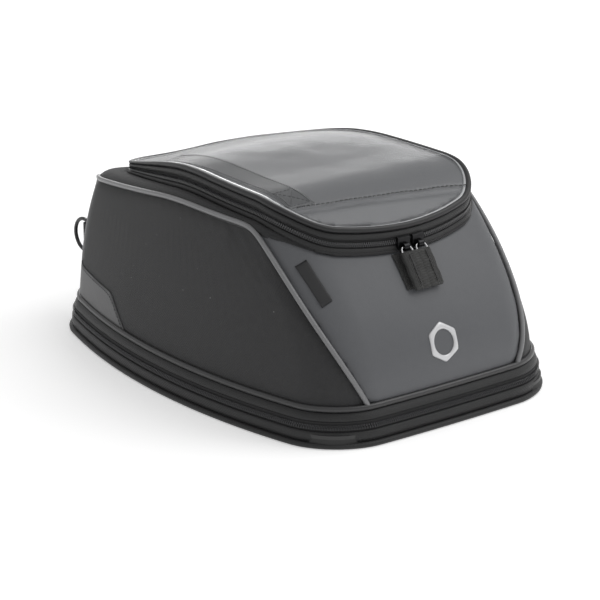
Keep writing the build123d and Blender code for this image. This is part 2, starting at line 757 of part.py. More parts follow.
# ---- expansion zip slider -----------------------------------------------------------------
exp_x = bag_rear - zip_outer
exp_pivot_x = exp_x - slider_clearance - slider_plate - 1.6
exp_pull_hole = exp_pull_thickness / sqrt(2) + ring_hole_clearance
with BuildPart() as expansion_slider:
    with BuildSketch(Plane.XY.offset(base_band_top + 0.5)):
        with Locations((exp_x - slider_clearance - slider_plate / 2, exp_slider_y)):
            Rectangle(slider_plate, slider_length)
    extrude(amount=2 * zip_height + zip_gap - 1.0)
    with BuildSketch(Plane.XY.offset(base_band_top + 0.5)):
        with Locations((bag_rear - base_flare + 1.0 + slider_clearance + slider_back / 2, exp_slider_y)):
            Rectangle(slider_back, slider_length - 4.0)
    extrude(amount=exp_middle + web_thickness / 2 - base_band_top - 0.5)
    with BuildSketch(Plane.XY.offset(exp_middle - web_thickness / 2)):
        with Locations((bag_rear - base_flare + 1.0 - band_thickness / 2 - 1.0, exp_slider_y)):
            Rectangle(band_thickness + 4.0, slider_length - 4.0)
    extrude(amount=web_thickness)
    with BuildSketch(Plane.XZ.offset(-exp_slider_y - bridge_length / 2)):
        with Locations((exp_pivot_x, exp_middle)):
            Circle(exp_pull_hole + 1.0)
    extrude(amount=bridge_length)
    with BuildSketch(Plane.XZ.offset(-exp_slider_y - bridge_length)):
        with Locations((exp_pivot_x, exp_middle)):
            Circle(exp_pull_hole)
    extrude(amount=2 * bridge_length, mode=Mode.SUBTRACT)
keep(expansion_slider.part, "expansion_slider")

with BuildPart() as expansion_pull:
    with BuildSketch(Plane.YZ.offset(exp_pivot_x - exp_pull_thickness / 2)):
        with Locations((exp_slider_y, exp_middle - exp_pull_length / 2 + exp_pull_thickness / 2)):
            RectangleRounded(exp_pull_width + 2.0, exp_pull_length, 1.5)
        with Locations((exp_slider_y, exp_middle - bridge_radius)):
            Rectangle(bridge_length + 1.2, 2 * bridge_radius - exp_pull_thickness, mode=Mode.SUBTRACT)
    extrude(amount=exp_pull_thickness)
keep(expansion_pull.part, "expansion_pull")

# ---- joint places, for whoever drives the model -------------------------------------------
fall_angle = atan2(front_fall, 1.0)
arc_sag = mouth_front - mouth_corner_x
arc_radius = (mouth_half_front**2 + arc_sag**2) / (2 * arc_sag)
track_radius = arc_radius * cos(fall_angle)
track_x = mouth_front - track_radius * cos(fall_angle)
track_z = shoulder(mouth_front) + chain + track_radius * sin(fall_angle)
print("lid hinge", hinge_x, hinge_z)
print("slider track centre", round(track_x, 3), round(track_z, 3), "tilt", round(degrees(fall_angle), 3))
print("ring pivot", round(pivot_x, 3), slider_spacing, round(pivot_z, 3))
print("accessory ring bar", bar_x, d_ring_y)
print("expansion pull pivot", round(exp_pivot_x, 3), exp_slider_y, exp_middle)
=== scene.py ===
"""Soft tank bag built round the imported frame: fabric panels, piping, zips, a clear map lid, base and trims.

Lengths are in metres, apart from the cross sections of bands and cords, which are in millimetres.
The axes are the frame's own: +X points to the end with the zip sliders, -Y is the right side,
+Z is up and the origin is on the floor under the tank-ring socket.
"""

import math

import bmesh
import bpy
import numpy as np
from bpy.props import FloatProperty, IntProperty, PointerProperty
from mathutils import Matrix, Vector, noise
from mathutils.bvhtree import BVHTree


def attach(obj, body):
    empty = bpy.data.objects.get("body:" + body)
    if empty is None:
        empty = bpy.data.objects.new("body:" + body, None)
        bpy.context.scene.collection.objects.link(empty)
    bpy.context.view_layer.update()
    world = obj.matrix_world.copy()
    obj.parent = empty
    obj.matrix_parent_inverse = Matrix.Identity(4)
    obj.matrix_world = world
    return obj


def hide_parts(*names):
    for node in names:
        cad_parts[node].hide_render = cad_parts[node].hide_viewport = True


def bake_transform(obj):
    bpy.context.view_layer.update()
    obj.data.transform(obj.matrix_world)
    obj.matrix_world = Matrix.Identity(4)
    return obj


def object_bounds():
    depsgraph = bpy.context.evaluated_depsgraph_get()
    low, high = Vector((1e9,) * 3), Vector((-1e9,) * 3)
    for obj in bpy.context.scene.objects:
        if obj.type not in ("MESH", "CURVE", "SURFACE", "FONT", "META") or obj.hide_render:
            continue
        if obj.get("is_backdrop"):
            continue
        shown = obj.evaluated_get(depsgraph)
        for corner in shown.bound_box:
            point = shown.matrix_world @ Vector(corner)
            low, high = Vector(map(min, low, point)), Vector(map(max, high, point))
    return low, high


bl_info = {
    "name": "Tank Bag",
    "version": (1, 0, 0),
    "blender": (4, 5, 0),
    "location": "View3D > Sidebar > Tank Bag",
    "description": "Builds a soft motorcycle tank bag and its studio",
    "category": "Add Mesh",
}

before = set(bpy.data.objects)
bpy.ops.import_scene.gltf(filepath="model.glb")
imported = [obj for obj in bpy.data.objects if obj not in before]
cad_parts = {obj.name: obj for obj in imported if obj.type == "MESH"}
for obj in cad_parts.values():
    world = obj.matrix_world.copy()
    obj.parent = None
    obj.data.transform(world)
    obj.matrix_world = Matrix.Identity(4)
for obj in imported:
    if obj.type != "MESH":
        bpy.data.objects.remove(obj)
LOADED_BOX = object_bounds()

# ---- shared sizes -------------------------------------------------------------------------
FOOT_Z = 0.030
KNEE_X, SADDLE_X, REAR_X = 0.0975, -0.0215, -0.198
CREST_Z, REAR_Z = 0.1585, 0.1335
SQUEEZE_FROM, SQUEEZE_TO, SQUEEZE = -0.035, -0.176, 0.45
FALL = math.tan(math.radians(27.0))
HEEL_X, HEEL_RADIUS = -0.172, 0.026
BLEND_REACH = 0.022
HINGE_X = -0.169
SEAM_REAR_X = -0.182
WIDEST_X = -0.027
COUNTS = (20, 16, 64, 14, 12)
FOLD_X, FOLD_SLANT = 0.1151, 0.0932
STRIP_REAR, STRIP_FRONT = (-0.082, -0.0745), (0.108, -0.0765)
ROUND = np.linspace(0, 2 * math.pi, 14, endpoint=False)
LEVEL_UP = [0.0, 0.0, 1.0]

# outline: rear, front, half widths at rear, middle and front, sag of the front edge, widest station,
# front and rear corner radius
FOOT = (-0.195, 0.195, 0.104, 0.138, 0.110, 0.003, WIDEST_X, 0.038, 0.038)
BELLY = (-0.202, 0.203, 0.098, 0.1295, 0.108, 0.010, WIDEST_X, 0.040, 0.040)
BROW = (-0.192, 0.1455, 0.087, 0.111, 0.104, 0.027, WIDEST_X, 0.038, 0.038)
MOUTH = (-0.176, 0.145, 0.060, 0.093, 0.0975, 0.0235, -0.020, 0.036, 0.036)


class BodySettings(bpy.types.PropertyGroup):
    wall: FloatProperty(
        name="Wall", description="Thickness of the padded wall", default=0.0036, unit="LENGTH"
    )
    seam_tuck: FloatProperty(
        name="Seam tuck", description="How far the fabric dips at a seam", default=0.0022, unit="LENGTH"
    )
    pucker: FloatProperty(
        name="Pucker", description="Height of the puckers beside a seam", default=0.00035, unit="LENGTH"
    )
    slack: FloatProperty(
        name="Slack", description="Height of the broad waves in the fabric", default=0.0007, unit="LENGTH"
    )
    piping: FloatProperty(
        name="Piping", description="Radius of the side piping", default=0.0021, unit="LENGTH"
    )


class LidSettings(bpy.types.PropertyGroup):
    crown: FloatProperty(
        name="Crown", description="Rise of the clear film above its rim", default=0.0060, unit="LENGTH"
    )
    film_gap: FloatProperty(
        name="Film gap", description="Room between the film and the panel", default=0.0016, unit="LENGTH"
    )
    ripple: FloatProperty(
        name="Ripple", description="Height of the waves in the film", default=0.0006, unit="LENGTH"
    )
    strip_width: FloatProperty(
        name="Strip width", description="Width of the strip under the film", default=0.026, unit="LENGTH"
    )


class ZipSettings(bpy.types.PropertyGroup):
    pitch: FloatProperty(
        name="Pitch", description="Distance from tooth to tooth", default=0.0019, unit="LENGTH"
    )
    tooth: FloatProperty(
        name="Tooth", description="Length of a tooth along the zip", default=0.0011, unit="LENGTH"
    )


class BaseSettings(bpy.types.PropertyGroup):
    pleats: IntProperty(name="Pleats", description="Folds in the expansion gusset", default=3, min=1)
    edge_round: FloatProperty(
        name="Edge", description="Rounding of the moulded edges", default=0.0008, unit="LENGTH"
    )


class TrimSettings(bpy.types.PropertyGroup):
    stitch: FloatProperty(
        name="Stitch", description="Length of one stitch", default=0.0026, unit="LENGTH"
    )
    thread: FloatProperty(
        name="Thread", description="Radius of the sewing thread", default=0.00035, unit="LENGTH"
    )


class StageSettings(bpy.types.PropertyGroup):
    lens: FloatProperty(name="Lens", description="Focal length in millimetres", default=155.4)
    distance: FloatProperty(
        name="Distance", description="From the camera to the bag", default=2.2, unit="LENGTH"
    )
    turn: FloatProperty(
        name="Turn", description="Direction of the camera round the bag", default=math.radians(52.5),
        subtype="ANGLE",
    )
    height: FloatProperty(
        name="Height", description="Camera elevation", default=math.radians(18.2), subtype="ANGLE"
    )
    key: FloatProperty(name="Key", description="Power of the lamp behind the bag", default=4.5)
    fill: FloatProperty(name="Fill", description="Power of the overhead lamp", default=14.0)


SETTINGS = {
    "tank_bag_body": BodySettings,
    "tank_bag_lid": LidSettings,
    "tank_bag_zip": ZipSettings,
    "tank_bag_base": BaseSettings,
    "tank_bag_trim": TrimSettings,
    "tank_bag_stage": StageSettings,
}


# ---- profile and outlines -----------------------------------------------------------------
def raw_crest(x):
    """Height of the unrounded shoulder profile."""
    if x > KNEE_X:
        return CREST_Z - FALL * (x - KNEE_X)
    if x > SADDLE_X:
        return CREST_Z
    return CREST_Z - (CREST_Z - REAR_Z) * (SADDLE_X - x) / (SADDLE_X - REAR_X)


def crest(x):
    """Height of the shoulder profile with its bends rounded."""
    mean = sum(raw_crest(x + BLEND_REACH * k / 4) for k in range(-4, 5)) / 9
    past = min(HEEL_RADIUS, max(0.0, HEEL_X - x))
    return mean - HEEL_RADIUS + math.sqrt(HEEL_RADIUS**2 - past**2)


def squeeze(x):
    """How tall the stack of bands and piping round the mouth is, as a share of its height at the front."""
    t = min(1.0, max(0.0, (x - SQUEEZE_FROM) / (SQUEEZE_TO - SQUEEZE_FROM)))
    return 1.0 - (1.0 - SQUEEZE) * t * t * (3 - 2 * t)


def sag(x, y):
    """How far the rear end of the mouth and lid dips in the middle."""
    t = min(1.0, max(0.0, (-0.100 - x) / 0.076))
    return 0.0045 * t * t * (3 - 2 * t) * max(0.0, 1 - (y / 0.075) ** 2)


def mouth_height(x, y):
    """Height of the mouth's edge."""
    return crest(x) - sag(x, y)


def fold_x(y):
    """Where the sewn fold across the front of the lid runs."""
    return FOLD_X + FOLD_SLANT * y - 0.0003 * math.sin(y * 140)


def strip_y(x):
    """Middle line of the strip under the film."""
    return np.interp(x, [STRIP_REAR[0], STRIP_FRONT[0]], [STRIP_REAR[1], STRIP_FRONT[1]])


def power(value, exponent):
    """Power that keeps the sign, for rounded box outlines."""
    return math.copysign(abs(value) ** exponent, value)


def round_section(out, up, wide, tall):
    """Oval section of a cord, in millimetres."""
    return [(out + wide * math.cos(a), up + tall * math.sin(a)) for a in ROUND]


def circle_through(a, b, c):
    """Centre and radius of the circle through three points in a plane."""
    d = 2 * (a[0] * (b[1] - c[1]) + b[0] * (c[1] - a[1]) + c[0] * (a[1] - b[1]))
    sa, sb, sc = (p[0] ** 2 + p[1] ** 2 for p in (a, b, c))
    ux = (sa * (b[1] - c[1]) + sb * (c[1] - a[1]) + sc * (a[1] - b[1])) / d
    uy = (sa * (c[0] - b[0]) + sb * (a[0] - c[0]) + sc * (b[0] - a[0])) / d
    return ux, uy, math.hypot(a[0] - ux, a[1] - uy)


def arc(a, b, c, count):
    """Points on the arc from a through b to c."""
    ux, uy, radius = circle_through(a, b, c)
    angles = [math.atan2(p[1] - uy, p[0] - ux) for p in (a, b, c)]
    turn = (angles[2] - angles[0]) % (2 * math.pi)
    if (angles[1] - angles[0]) % (2 * math.pi) > turn:
        turn -= 2 * math.pi
    steps = angles[0] + np.linspace(0, 1, count + 1) * turn
    return np.stack([ux + radius * np.cos(steps), uy + radius * np.sin(steps)], 1)


def lengths(points, closed=False):
    """Running length along a line of points."""
    nearby = np.roll(points, -1, 0) if closed else points[1:]
    steps = np.linalg.norm(nearby - (points if closed else points[:-1]), axis=1)
    return np.concatenate([[0.0], np.cumsum(steps)])


def sample(points, start, end, count):
    """count + 1 even points between two running lengths."""
    run = lengths(points)
    at = np.linspace(start, end, count + 1)
    return np.stack([np.interp(at, run, points[:, k]) for k in range(points.shape[1])], 1)


def even(points, step, closed=True):
    """The same line with evenly spaced points."""
    line = np.vstack([points, points[:1]]) if closed else points
    total = lengths(line)[-1]
    count = max(2, int(round(total / step)))
    again = sample(line, 0.0, total, count)
    return again[:-1] if closed else again


def corner(before, after, reach, count):
    """Rounded corner between the end of one line and the start of the next."""
    into, out = before[-1] - before[-2], after[1] - after[0]
    handle = 0.55 * reach
    a, d = before[-1], after[0]
    b = a + into / np.linalg.norm(into) * handle
    c = d - out / np.linalg.norm(out) * handle
    t = np.linspace(0, 1, count + 1)[:, None]
    return (1 - t) ** 3 * a + 3 * t * (1 - t) ** 2 * b + 3 * t * t * (1 - t) * c + t**3 * d


def plan(shape, grow=0.0):
    """Closed plan outline, from the middle of the front round the right side and back on the left."""
    rear, front, half_rear, half_middle, half_front, sag, widest, round_front, round_rear = shape
    rear, front = rear - grow, front + grow
    half_rear, half_middle, half_front = half_rear + grow, half_middle + grow, half_front + grow
    round_front, round_rear = round_front + grow, round_rear + grow
    nose = arc((front, 0), (front - sag * 0.25, -half_front * 0.5), (front - sag, -half_front), 60)
    side = arc((front - sag, -half_front), (widest, -half_middle), (rear, -half_rear), 240)
    back = np.stack([np.full(31, rear), np.linspace(-half_rear, 0, 31)], 1)
    nose = sample(nose, 0, lengths(nose)[-1] - round_front, COUNTS[0])
    side = sample(side, round_front, lengths(side)[-1] - round_rear, COUNTS[2])
    back = sample(back, round_rear, lengths(back)[-1], COUNTS[4])
    half = np.vstack(
        [
            nose[:-1],
            corner(nose, side, round_front, COUNTS[1])[:-1],
            side[:-1],
            corner(side, back, round_rear, COUNTS[3])[:-1],
            back,
        ]
    )
    return np.vstack([half, half[-2:0:-1] * np.array([1, -1])])


def outward(loop):
    """Level unit normals of a closed plan outline that runs clockwise."""
    along = np.roll(loop, -1, 0) - np.roll(loop, 1, 0)
    along /= np.linalg.norm(along, axis=1)[:, None]
    return np.stack([-along[:, 1], along[:, 0]], 1)


# ---- mesh building ------------------------------------------------------------------------
class Build:
    """Collects the mesh of one piece."""

    def __init__(self):
        self.verts, self.faces, self.uvs, self.slots = [], [], [], []

    def add(self, verts, faces, uvs, slot=0):
        """Add a patch of mesh with one texture place for each vertex."""
        base = len(self.verts)
        self.verts += [tuple(v) for v in verts]
        self.uvs += [tuple(uv) for uv in uvs]
        self.faces += [tuple(base + k for k in f) for f in faces]
        self.slots += [slot] * len(faces)

    def sweep(self, centres, outs, ups, section, closed, slot=0, caps=True):
        """Sweep a closed section of (out, up) offsets along a line."""
        section = np.asarray(section, float)
        count, size = len(centres), len(section)
        spots = (
            centres[:, None, :]
            + outs[:, None, :] * section[None, :, 0:1]
            + ups[:, None, :] * section[None, :, 1:2]
        ).reshape(-1, 3)
        run, across = lengths(centres)[:count], lengths(section)[:size]
        uvs = [(a, b) for a in run for b in across]
        faces = []
        for i in range(count if closed else count - 1):
            j = (i + 1) % count
            for k in range(size):
                m = (k + 1) % size
                faces.append((i * size + k, i * size + m, j * size + m, j * size + k))
        if not closed and caps:
            faces.append(tuple(range(size)))
            faces.append(tuple(reversed(range((count - 1) * size, count * size))))
        self.add(spots, faces, uvs, slot)

    def tube(self, points, radius, closed=False, sides=10, slot=0):
        """Round cord along a line of points."""
        points = np.asarray(points, float)
        ahead = np.roll(points, -1, 0) - np.roll(points, 1, 0)
        if not closed:
            ahead[0], ahead[-1] = points[1] - points[0], points[-1] - points[-2]
        ahead /= np.linalg.norm(ahead, axis=1)[:, None]
        outs = np.zeros_like(points)
        side = np.cross(ahead[0], (0, 0, 1))
        if np.linalg.norm(side) < 0.1:
            side = np.cross(ahead[0], (0, 1, 0))
        for i, way in enumerate(ahead):
            side = side - way * (side @ way)
            side /= np.linalg.norm(side)
            outs[i] = side
        angles = np.linspace(0, 2 * math.pi, sides, endpoint=False)
        section = np.stack([np.cos(angles), np.sin(angles)], 1) * radius
        self.sweep(points, outs, np.cross(ahead, outs), section, closed, slot)

    def ring(self, loop, section, height=None, keep=None, slot=0):
        """Sweep a section, in millimetres, round a plan outline; height gives the base of each station."""
        outs = outward(loop)
        stations = np.roll(np.arange(len(loop)), -(len(loop) // 2))
        closed = keep is None
        if not closed:
            stations = [i for i in range(len(loop)) if keep(*loop[i])]
            gaps = [k for k in range(1, len(stations)) if stations[k] != stations[k - 1] + 1]
            if gaps:
                stations = stations[gaps[0] :] + stations[: gaps[0]]
        flat, outs = loop[stations], outs[stations]
        base = np.array([height(x, y) if height else 0.0 for x, y in flat])
        centres = np.column_stack([flat, base])
        outs = np.column_stack([outs, np.zeros(len(outs))])
        ups = np.array([(0.0, 0.0, squeeze(x) if height else 1.0) for x, _ in flat])
        self.sweep(centres, outs, ups, np.asarray(section, float) * 0.001, closed, slot)

    def teeth(self, loop, low, high, inner, outer, pitch, tooth, shift, height=None, keep=None, slot=1):
        """Row of small teeth round a plan outline, between heights and offsets in millimetres."""
        spots = even(loop, pitch)
        outs = outward(spots)
        low, high, inner, outer = low * 0.001, high * 0.001, inner * 0.001, outer * 0.001
        box = [(0, 1, 2, 3), (7, 6, 5, 4), (0, 4, 5, 1), (1, 5, 6, 2), (2, 6, 7, 3), (3, 7, 4, 0)]
        for i, (spot, out) in enumerate(zip(spots, outs)):
            if keep and not keep(*spot):
                continue
            along = np.array([out[1], -out[0]])
            middle = spot + along * shift * pitch
            base = height(*middle) if height else 0.0
            share = squeeze(middle[0]) if height else 1.0
            corners = []
            for up, slim in ((low, 1.0), (high, 0.72)):
                for side, reach in ((-1, inner), (-1, outer), (1, outer), (1, inner)):
                    flat = middle + along * side * tooth * slim / 2 + out * reach * (0.5 + slim / 2)
                    corners.append((flat[0], flat[1], base + up * share))
            self.add(corners, box, [(i * pitch, up * 0.001) for up in range(8)], slot)

    def stitches(self, points, normals, length, thread, slot, gap=0.45, lift=0.15):
        """Row of separate stitches lying on a surface."""
        run = lengths(points)
        total, at = run[-1], length * 0.5
        while at + length < total:
            ends = [
                np.array([np.interp(at + length * s, run, points[:, k]) for k in range(3)])
                for s in (0, 0.25, 0.75, 1)
            ]
            out = np.array([np.interp(at, run, normals[:, k]) for k in range(3)])
            for k, rise in enumerate((-0.6, lift + 0.6, lift + 0.6, -0.6)):
                ends[k] = ends[k] + out * thread * rise
            self.tube(np.array(ends), thread, sides=5, slot=slot)
            at += length * (1 + gap)

    def object(self, name, materials, smooth=True):
        """Object with what has been collected."""
        mesh = bpy.data.meshes.new(name)
        mesh.from_pydata(self.verts, [], self.faces)
        layer = mesh.uv_layers.new(name="UVMap")
        corners = np.zeros(len(mesh.loops), np.int32)
        mesh.loops.foreach_get("vertex_index", corners)
        layer.data.foreach_set("uv", np.array(self.uvs, np.float32)[corners].ravel())
        for material in materials:
            mesh.materials.append(material)
        mesh.polygons.foreach_set("material_index", np.array(self.slots, np.int32))
        mesh.polygons.foreach_set("use_smooth", [smooth] * len(self.faces))
        made = bmesh.new()
        made.from_mesh(mesh)
        bmesh.ops.recalc_face_normals(made, faces=made.faces)
        made.to_mesh(mesh)
        made.free()
        mesh.update()
        piece = bpy.data.objects.new(name, mesh)
        bpy.context.scene.collection.objects.link(piece)
        return piece


def trim(made, field):
    """Cut a mesh where field(position) is zero and keep the side where it is positive."""
    value = {}
    for v in made.verts:
        f = field(v.co)
        value[v] = f if abs(f) > 1e-7 else 1e-7
    cut = []
    for e in list(made.edges):
        a, b = e.verts
        if value[a] * value[b] < 0:
            _, spot = bmesh.utils.edge_split(e, a, value[a] / (value[a] - value[b]))
            value[spot] = 0.0
            cut.append(spot)
    bmesh.ops.connect_verts(made, verts=cut)
    spare = [f for f in made.faces if any(value[v] < 0 for v in f.verts)]
    bmesh.ops.delete(made, geom=spare, context="FACES")
    bmesh.ops.delete(made, geom=[v for v in made.verts if not v.link_faces], context="VERTS")


def rim_line(made, skip):
    """Longest line of border points, leaving out border edges for which skip(a, b) is true."""
    edges = [e for e in made.edges if e.is_boundary and not skip(e.verts[0].co, e.verts[1].co)]
    near = {}
    for e in edges:
        for a, b in (e.verts, reversed(e.verts)):
            near.setdefault(a, []).append(b)
    best, seen = [], set()
    for start in sorted(near, key=lambda v: (len(near[v]), v.index)):
        if start in seen:
            continue
        line, spot = [start], start
        seen.add(start)
        while True:
            ahead = [v for v in near[spot] if v not in seen]
            if not ahead:
                break
            spot = ahead[0]
            seen.add(spot)
            line.append(spot)
        if len(line) > len(best):
            best = line
    return np.array([v.co for v in best])


def relax(points, rounds, closed=False):
    """Smooth a line of points and keep its ends."""
    points = points.copy()
    for _ in range(rounds):
        middle = (np.roll(points, 1, 0) + np.roll(points, -1, 0)) / 2
        if not closed:
            middle[0], middle[-1] = points[0], points[-1]
        points = points * 0.5 + middle * 0.5
    return points


def solid(piece, thickness, inwards=True):
    """Give a sheet its thickness."""
    made = piece.modifiers.new("Thickness", "SOLIDIFY")
    made.thickness = thickness
    made.offset = -1 if inwards else 1
    return piece


def place(piece, body, slot, *nodes):
    """Fasten a piece to its body and hide the nodes it stands for; slot is not used."""
    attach(piece, body)
    if nodes:
        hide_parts(*nodes)
    return piece


# ---- the wall -----------------------------------------------------------------------------
EDGE = circle_through((0.076, 0.028), (0.1019, 0.09325), (0.108, 0.1585))


def edge_half(z):
    """Half width of the front panel at a height."""
    reach = EDGE[2] ** 2 - (z - EDGE[1]) ** 2
    return EDGE[0] + math.copysign(math.sqrt(max(reach, 0.0)), 0.1 - EDGE[0])


def side_field(p):
    """Positive on the side panels, negative on the front and rear panels, zero at their seams."""
    lateral = abs(p[1]) - edge_half(p[2]) + 2 * max(0.0, 0.06 - p[0])
    return min(lateral, p[0] - SEAM_REAR_X)


def waves(p, height):
    """Broad uneven waves in stretched fabric."""
    broad = noise.noise(Vector(p) * 11.0)
    fine = noise.noise(Vector(p) * 31.0 + Vector((4, 1, 7)))
    return height * (broad + 0.3 * fine)


class Wall:
    """Grid of the fabric wall from the foot seam to the shoulder seam, and of the shoulder strip."""

    def __init__(self, settings):
        self.rows = 30
        foot, belly, brow = plan(FOOT), plan(BELLY), plan(BROW)
        self.count = len(foot)
        ends = np.clip(np.abs(belly[:, 0] + 0.01) / 0.19, 0, 1) ** 3
        belly_z = 0.095 - 0.020 * ends
        brow_z = np.array([crest(x) for x, _ in brow]) - 0.003 + 0.003 * np.clip(brow[:, 0] / 0.14, 0, 1) ** 4
        low = np.column_stack([foot, np.full(self.count, FOOT_Z)])
        middle = np.column_stack([belly, belly_z])
        high = np.column_stack([brow, brow_z])
        t = np.linspace(0, 1, self.rows + 1)[:, None, None]
        grid = (1 - t) ** 2 * low + 2 * t * (1 - t) * middle + t * t * high
        self.normals = self.normals_of(grid)
        lift = np.array([[waves(p, settings.slack) for p in row] for row in grid])
        fade = np.sin(np.pi * np.linspace(0, 1, self.rows + 1))[:, None]
        self.grid = grid + self.normals * (lift * fade)[:, :, None]
        self.uv_u = lengths(foot, True)[:-1]
        self.uv_v = np.concatenate([[0], np.cumsum(np.linalg.norm(np.diff(grid, axis=0), axis=2).mean(1))])
        mouth = plan(MOUTH, 0.003)
        top = np.column_stack([mouth, [mouth_height(x, y) - 0.0004 for x, y in mouth]])
        s = np.linspace(0, 1, 9)[:, None, None]
        width = np.linalg.norm(top - high, axis=1)[None, :, None]
        plump = np.interp(high[:, 0], [0.085, 0.120], [0.22, 0.0])[None, :, None]
        bulge = np.sin(np.pi * s) * np.clip(width, 0, 0.02) * plump
        self.strip = high * (1 - s) + top * s
        out = np.column_stack([outward(brow), np.zeros(self.count)])
        self.strip = self.strip + bulge * (np.array([0, 0, 1.0]) + out * 0.8 * (1 - s))
        overlap = high + out * 0.0009 - np.array([0, 0, 0.0024])
        self.strip[0] += out * 0.0009
        self.strip = np.concatenate([overlap[None], self.strip])

    @staticmethod
    def normals_of(grid):
        """Outward unit normals of a grid."""
        around = np.roll(grid, -1, 1) - np.roll(grid, 1, 1)
        upward = np.gradient(grid, axis=0)
        made = np.cross(upward, around)
        return made / np.linalg.norm(made, axis=2)[:, :, None]

    def mesh(self, grid):
        """Mesh of a grid with texture places in metres."""
        rows, count = grid.shape[0], grid.shape[1]
        made = bmesh.new()
        verts = [[made.verts.new(p) for p in row] for row in grid]
        layer = made.loops.layers.uv.new("UVMap")
        run = np.concatenate([[0], np.cumsum(np.linalg.norm(np.diff(grid, axis=0), axis=2).mean(1))])
        for j in range(rows - 1):
            for i in range(count):
                k = (i + 1) % count
                face = made.faces.new((verts[j][i], verts[j + 1][i], verts[j + 1][k], verts[j][k]))
                face.smooth = True
                ahead = self.uv_u[i] + np.linalg.norm(grid[j][k] - grid[j][i])
                here = self.uv_u[i]
                spots = ((here, run[j]), (here, run[j + 1]), (ahead, run[j + 1]), (ahead, run[j]))
                for corner_loop, uv in zip(face.loops, spots):
                    corner_loop[layer].uv = uv
        made.verts.index_update()
        return made

    def tree(self):
        """Search tree of the wall, for draping pieces on it."""
        made = self.mesh(self.grid)
        made.normal_update()
        found = BVHTree.FromBMesh(made)
        made.free()
        return found

    def seam_dip(self, made, field, settings):
        """Dip the fabric at its seams and pucker it beside them."""
        made.normal_update()
        for v in made.verts:
            gap = abs(field(v.co))
            along = v.co.x * 0.7 + v.co.z
            dip = settings.seam_tuck * math.exp(-((gap / 0.0055) ** 2))
            dip += settings.pucker * math.sin(along * 2 * math.pi / 0.011) * math.exp(-gap / 0.008)
            v.co -= v.normal * dip


def piece_from(made, name, materials):
    """Object from an edited mesh."""
    mesh = bpy.data.meshes.new(name)
    made.to_mesh(mesh)
    made.free()
    for material in materials:
        mesh.materials.append(material)
    piece = bpy.data.objects.new(name, mesh)
    bpy.context.scene.collection.objects.link(piece)
    return piece


# ---- materials ----------------------------------------------------------------------------
def group(name, ins, outs):
    """New shader group with named sockets; returns the tree and its two end nodes."""
    tree = bpy.data.node_groups.new(name, "ShaderNodeTree")
    for label, kind, value in ins:
        socket = tree.interface.new_socket(label, in_out="INPUT", socket_type="NodeSocket" + kind)
        if kind != "Vector":
            socket.default_value = value
    for label, kind in outs:
        tree.interface.new_socket(label, in_out="OUTPUT", socket_type="NodeSocket" + kind)
    return tree, tree.nodes.new("NodeGroupInput"), tree.nodes.new("NodeGroupOutput")


def add_node(tree, kind, *values, **props):
    """New node; values are set or linked to its inputs in order, None leaves one alone."""
    made = tree.nodes.new("ShaderNode" + kind)
    for key, value in props.items():
        setattr(made, key, value)
    for socket, value in zip(made.inputs, values):
        if value is None:
            continue
        if isinstance(value, bpy.types.NodeSocket):
            tree.links.new(value, socket)
        else:
            socket.default_value = value
    return made


def maths(tree, operation, *values):
    """Maths node; returns its output."""
    return add_node(tree, "Math", *values, operation=operation).outputs[0]


def weave_group():
    """Plain weave: height of the yarns and a mask of the gaps between them, which the cloth uses for painted
    shade.
    """
    tree, start, end = group(
        "TB Weave",
        [("Vector", "Vector", None), ("Pitch", "Float", 0.001)],
        [("Height", "Float"), ("Gaps", "Float")],
    )
    per_metre = maths(tree, "DIVIDE", 1.0, start.outputs["Pitch"])
    scaled = add_node(tree, "VectorMath", start.outputs["Vector"], operation="SCALE")
    tree.links.new(per_metre, scaled.inputs["Scale"])
    parts = add_node(tree, "SeparateXYZ", scaled.outputs[0])
    warp = maths(tree, "ABSOLUTE", maths(tree, "SINE", maths(tree, "MULTIPLY", parts.outputs[0], math.pi)))
    weft = maths(tree, "ABSOLUTE", maths(tree, "SINE", maths(tree, "MULTIPLY", parts.outputs[1], math.pi)))
    checks = add_node(tree, "TexChecker", scaled.outputs[0])
    checks.inputs["Scale"].default_value = 1.0
    height = add_node(tree, "Mix", data_type="FLOAT")
    tree.links.new(checks.outputs["Fac"], height.inputs[0])
    tree.links.new(warp, height.inputs[2])
    tree.links.new(weft, height.inputs[3])
    # low places between the yarns; the cloth darkens its colour here as painted shade
    gaps = maths(tree, "POWER", maths(tree, "SUBTRACT", 1.0, height.outputs[0]), 3.0)
    tree.links.new(height.outputs[0], end.inputs["Height"])
    tree.links.new(gaps, end.inputs["Gaps"])
    return tree


def mottle_group():
    """Uneven tone: a broad and a fine noise added up round one."""
    tree, start, end = group(
        "TB Mottle",
        [
            ("Vector", "Vector", None),
            ("Broad", "Float", 9.0),
            ("Fine", "Float", 180.0),
            ("Amount", "Float", 0.3),
        ],
        [("Tone", "Float")],
    )
    broad = add_node(tree, "TexNoise", start.outputs["Vector"])
    tree.links.new(start.outputs["Broad"], broad.inputs["Scale"])
    fine = add_node(tree, "TexNoise", start.outputs["Vector"])
    tree.links.new(start.outputs["Fine"], fine.inputs["Scale"])
    both = maths(tree, "SUBTRACT", maths(tree, "ADD", broad.outputs["Fac"], fine.outputs["Fac"]), 1.0)
    tone = maths(tree, "ADD", maths(tree, "MULTIPLY", both, start.outputs["Amount"]), 1.0)
    tree.links.new(tone, end.inputs["Tone"])
    return tree


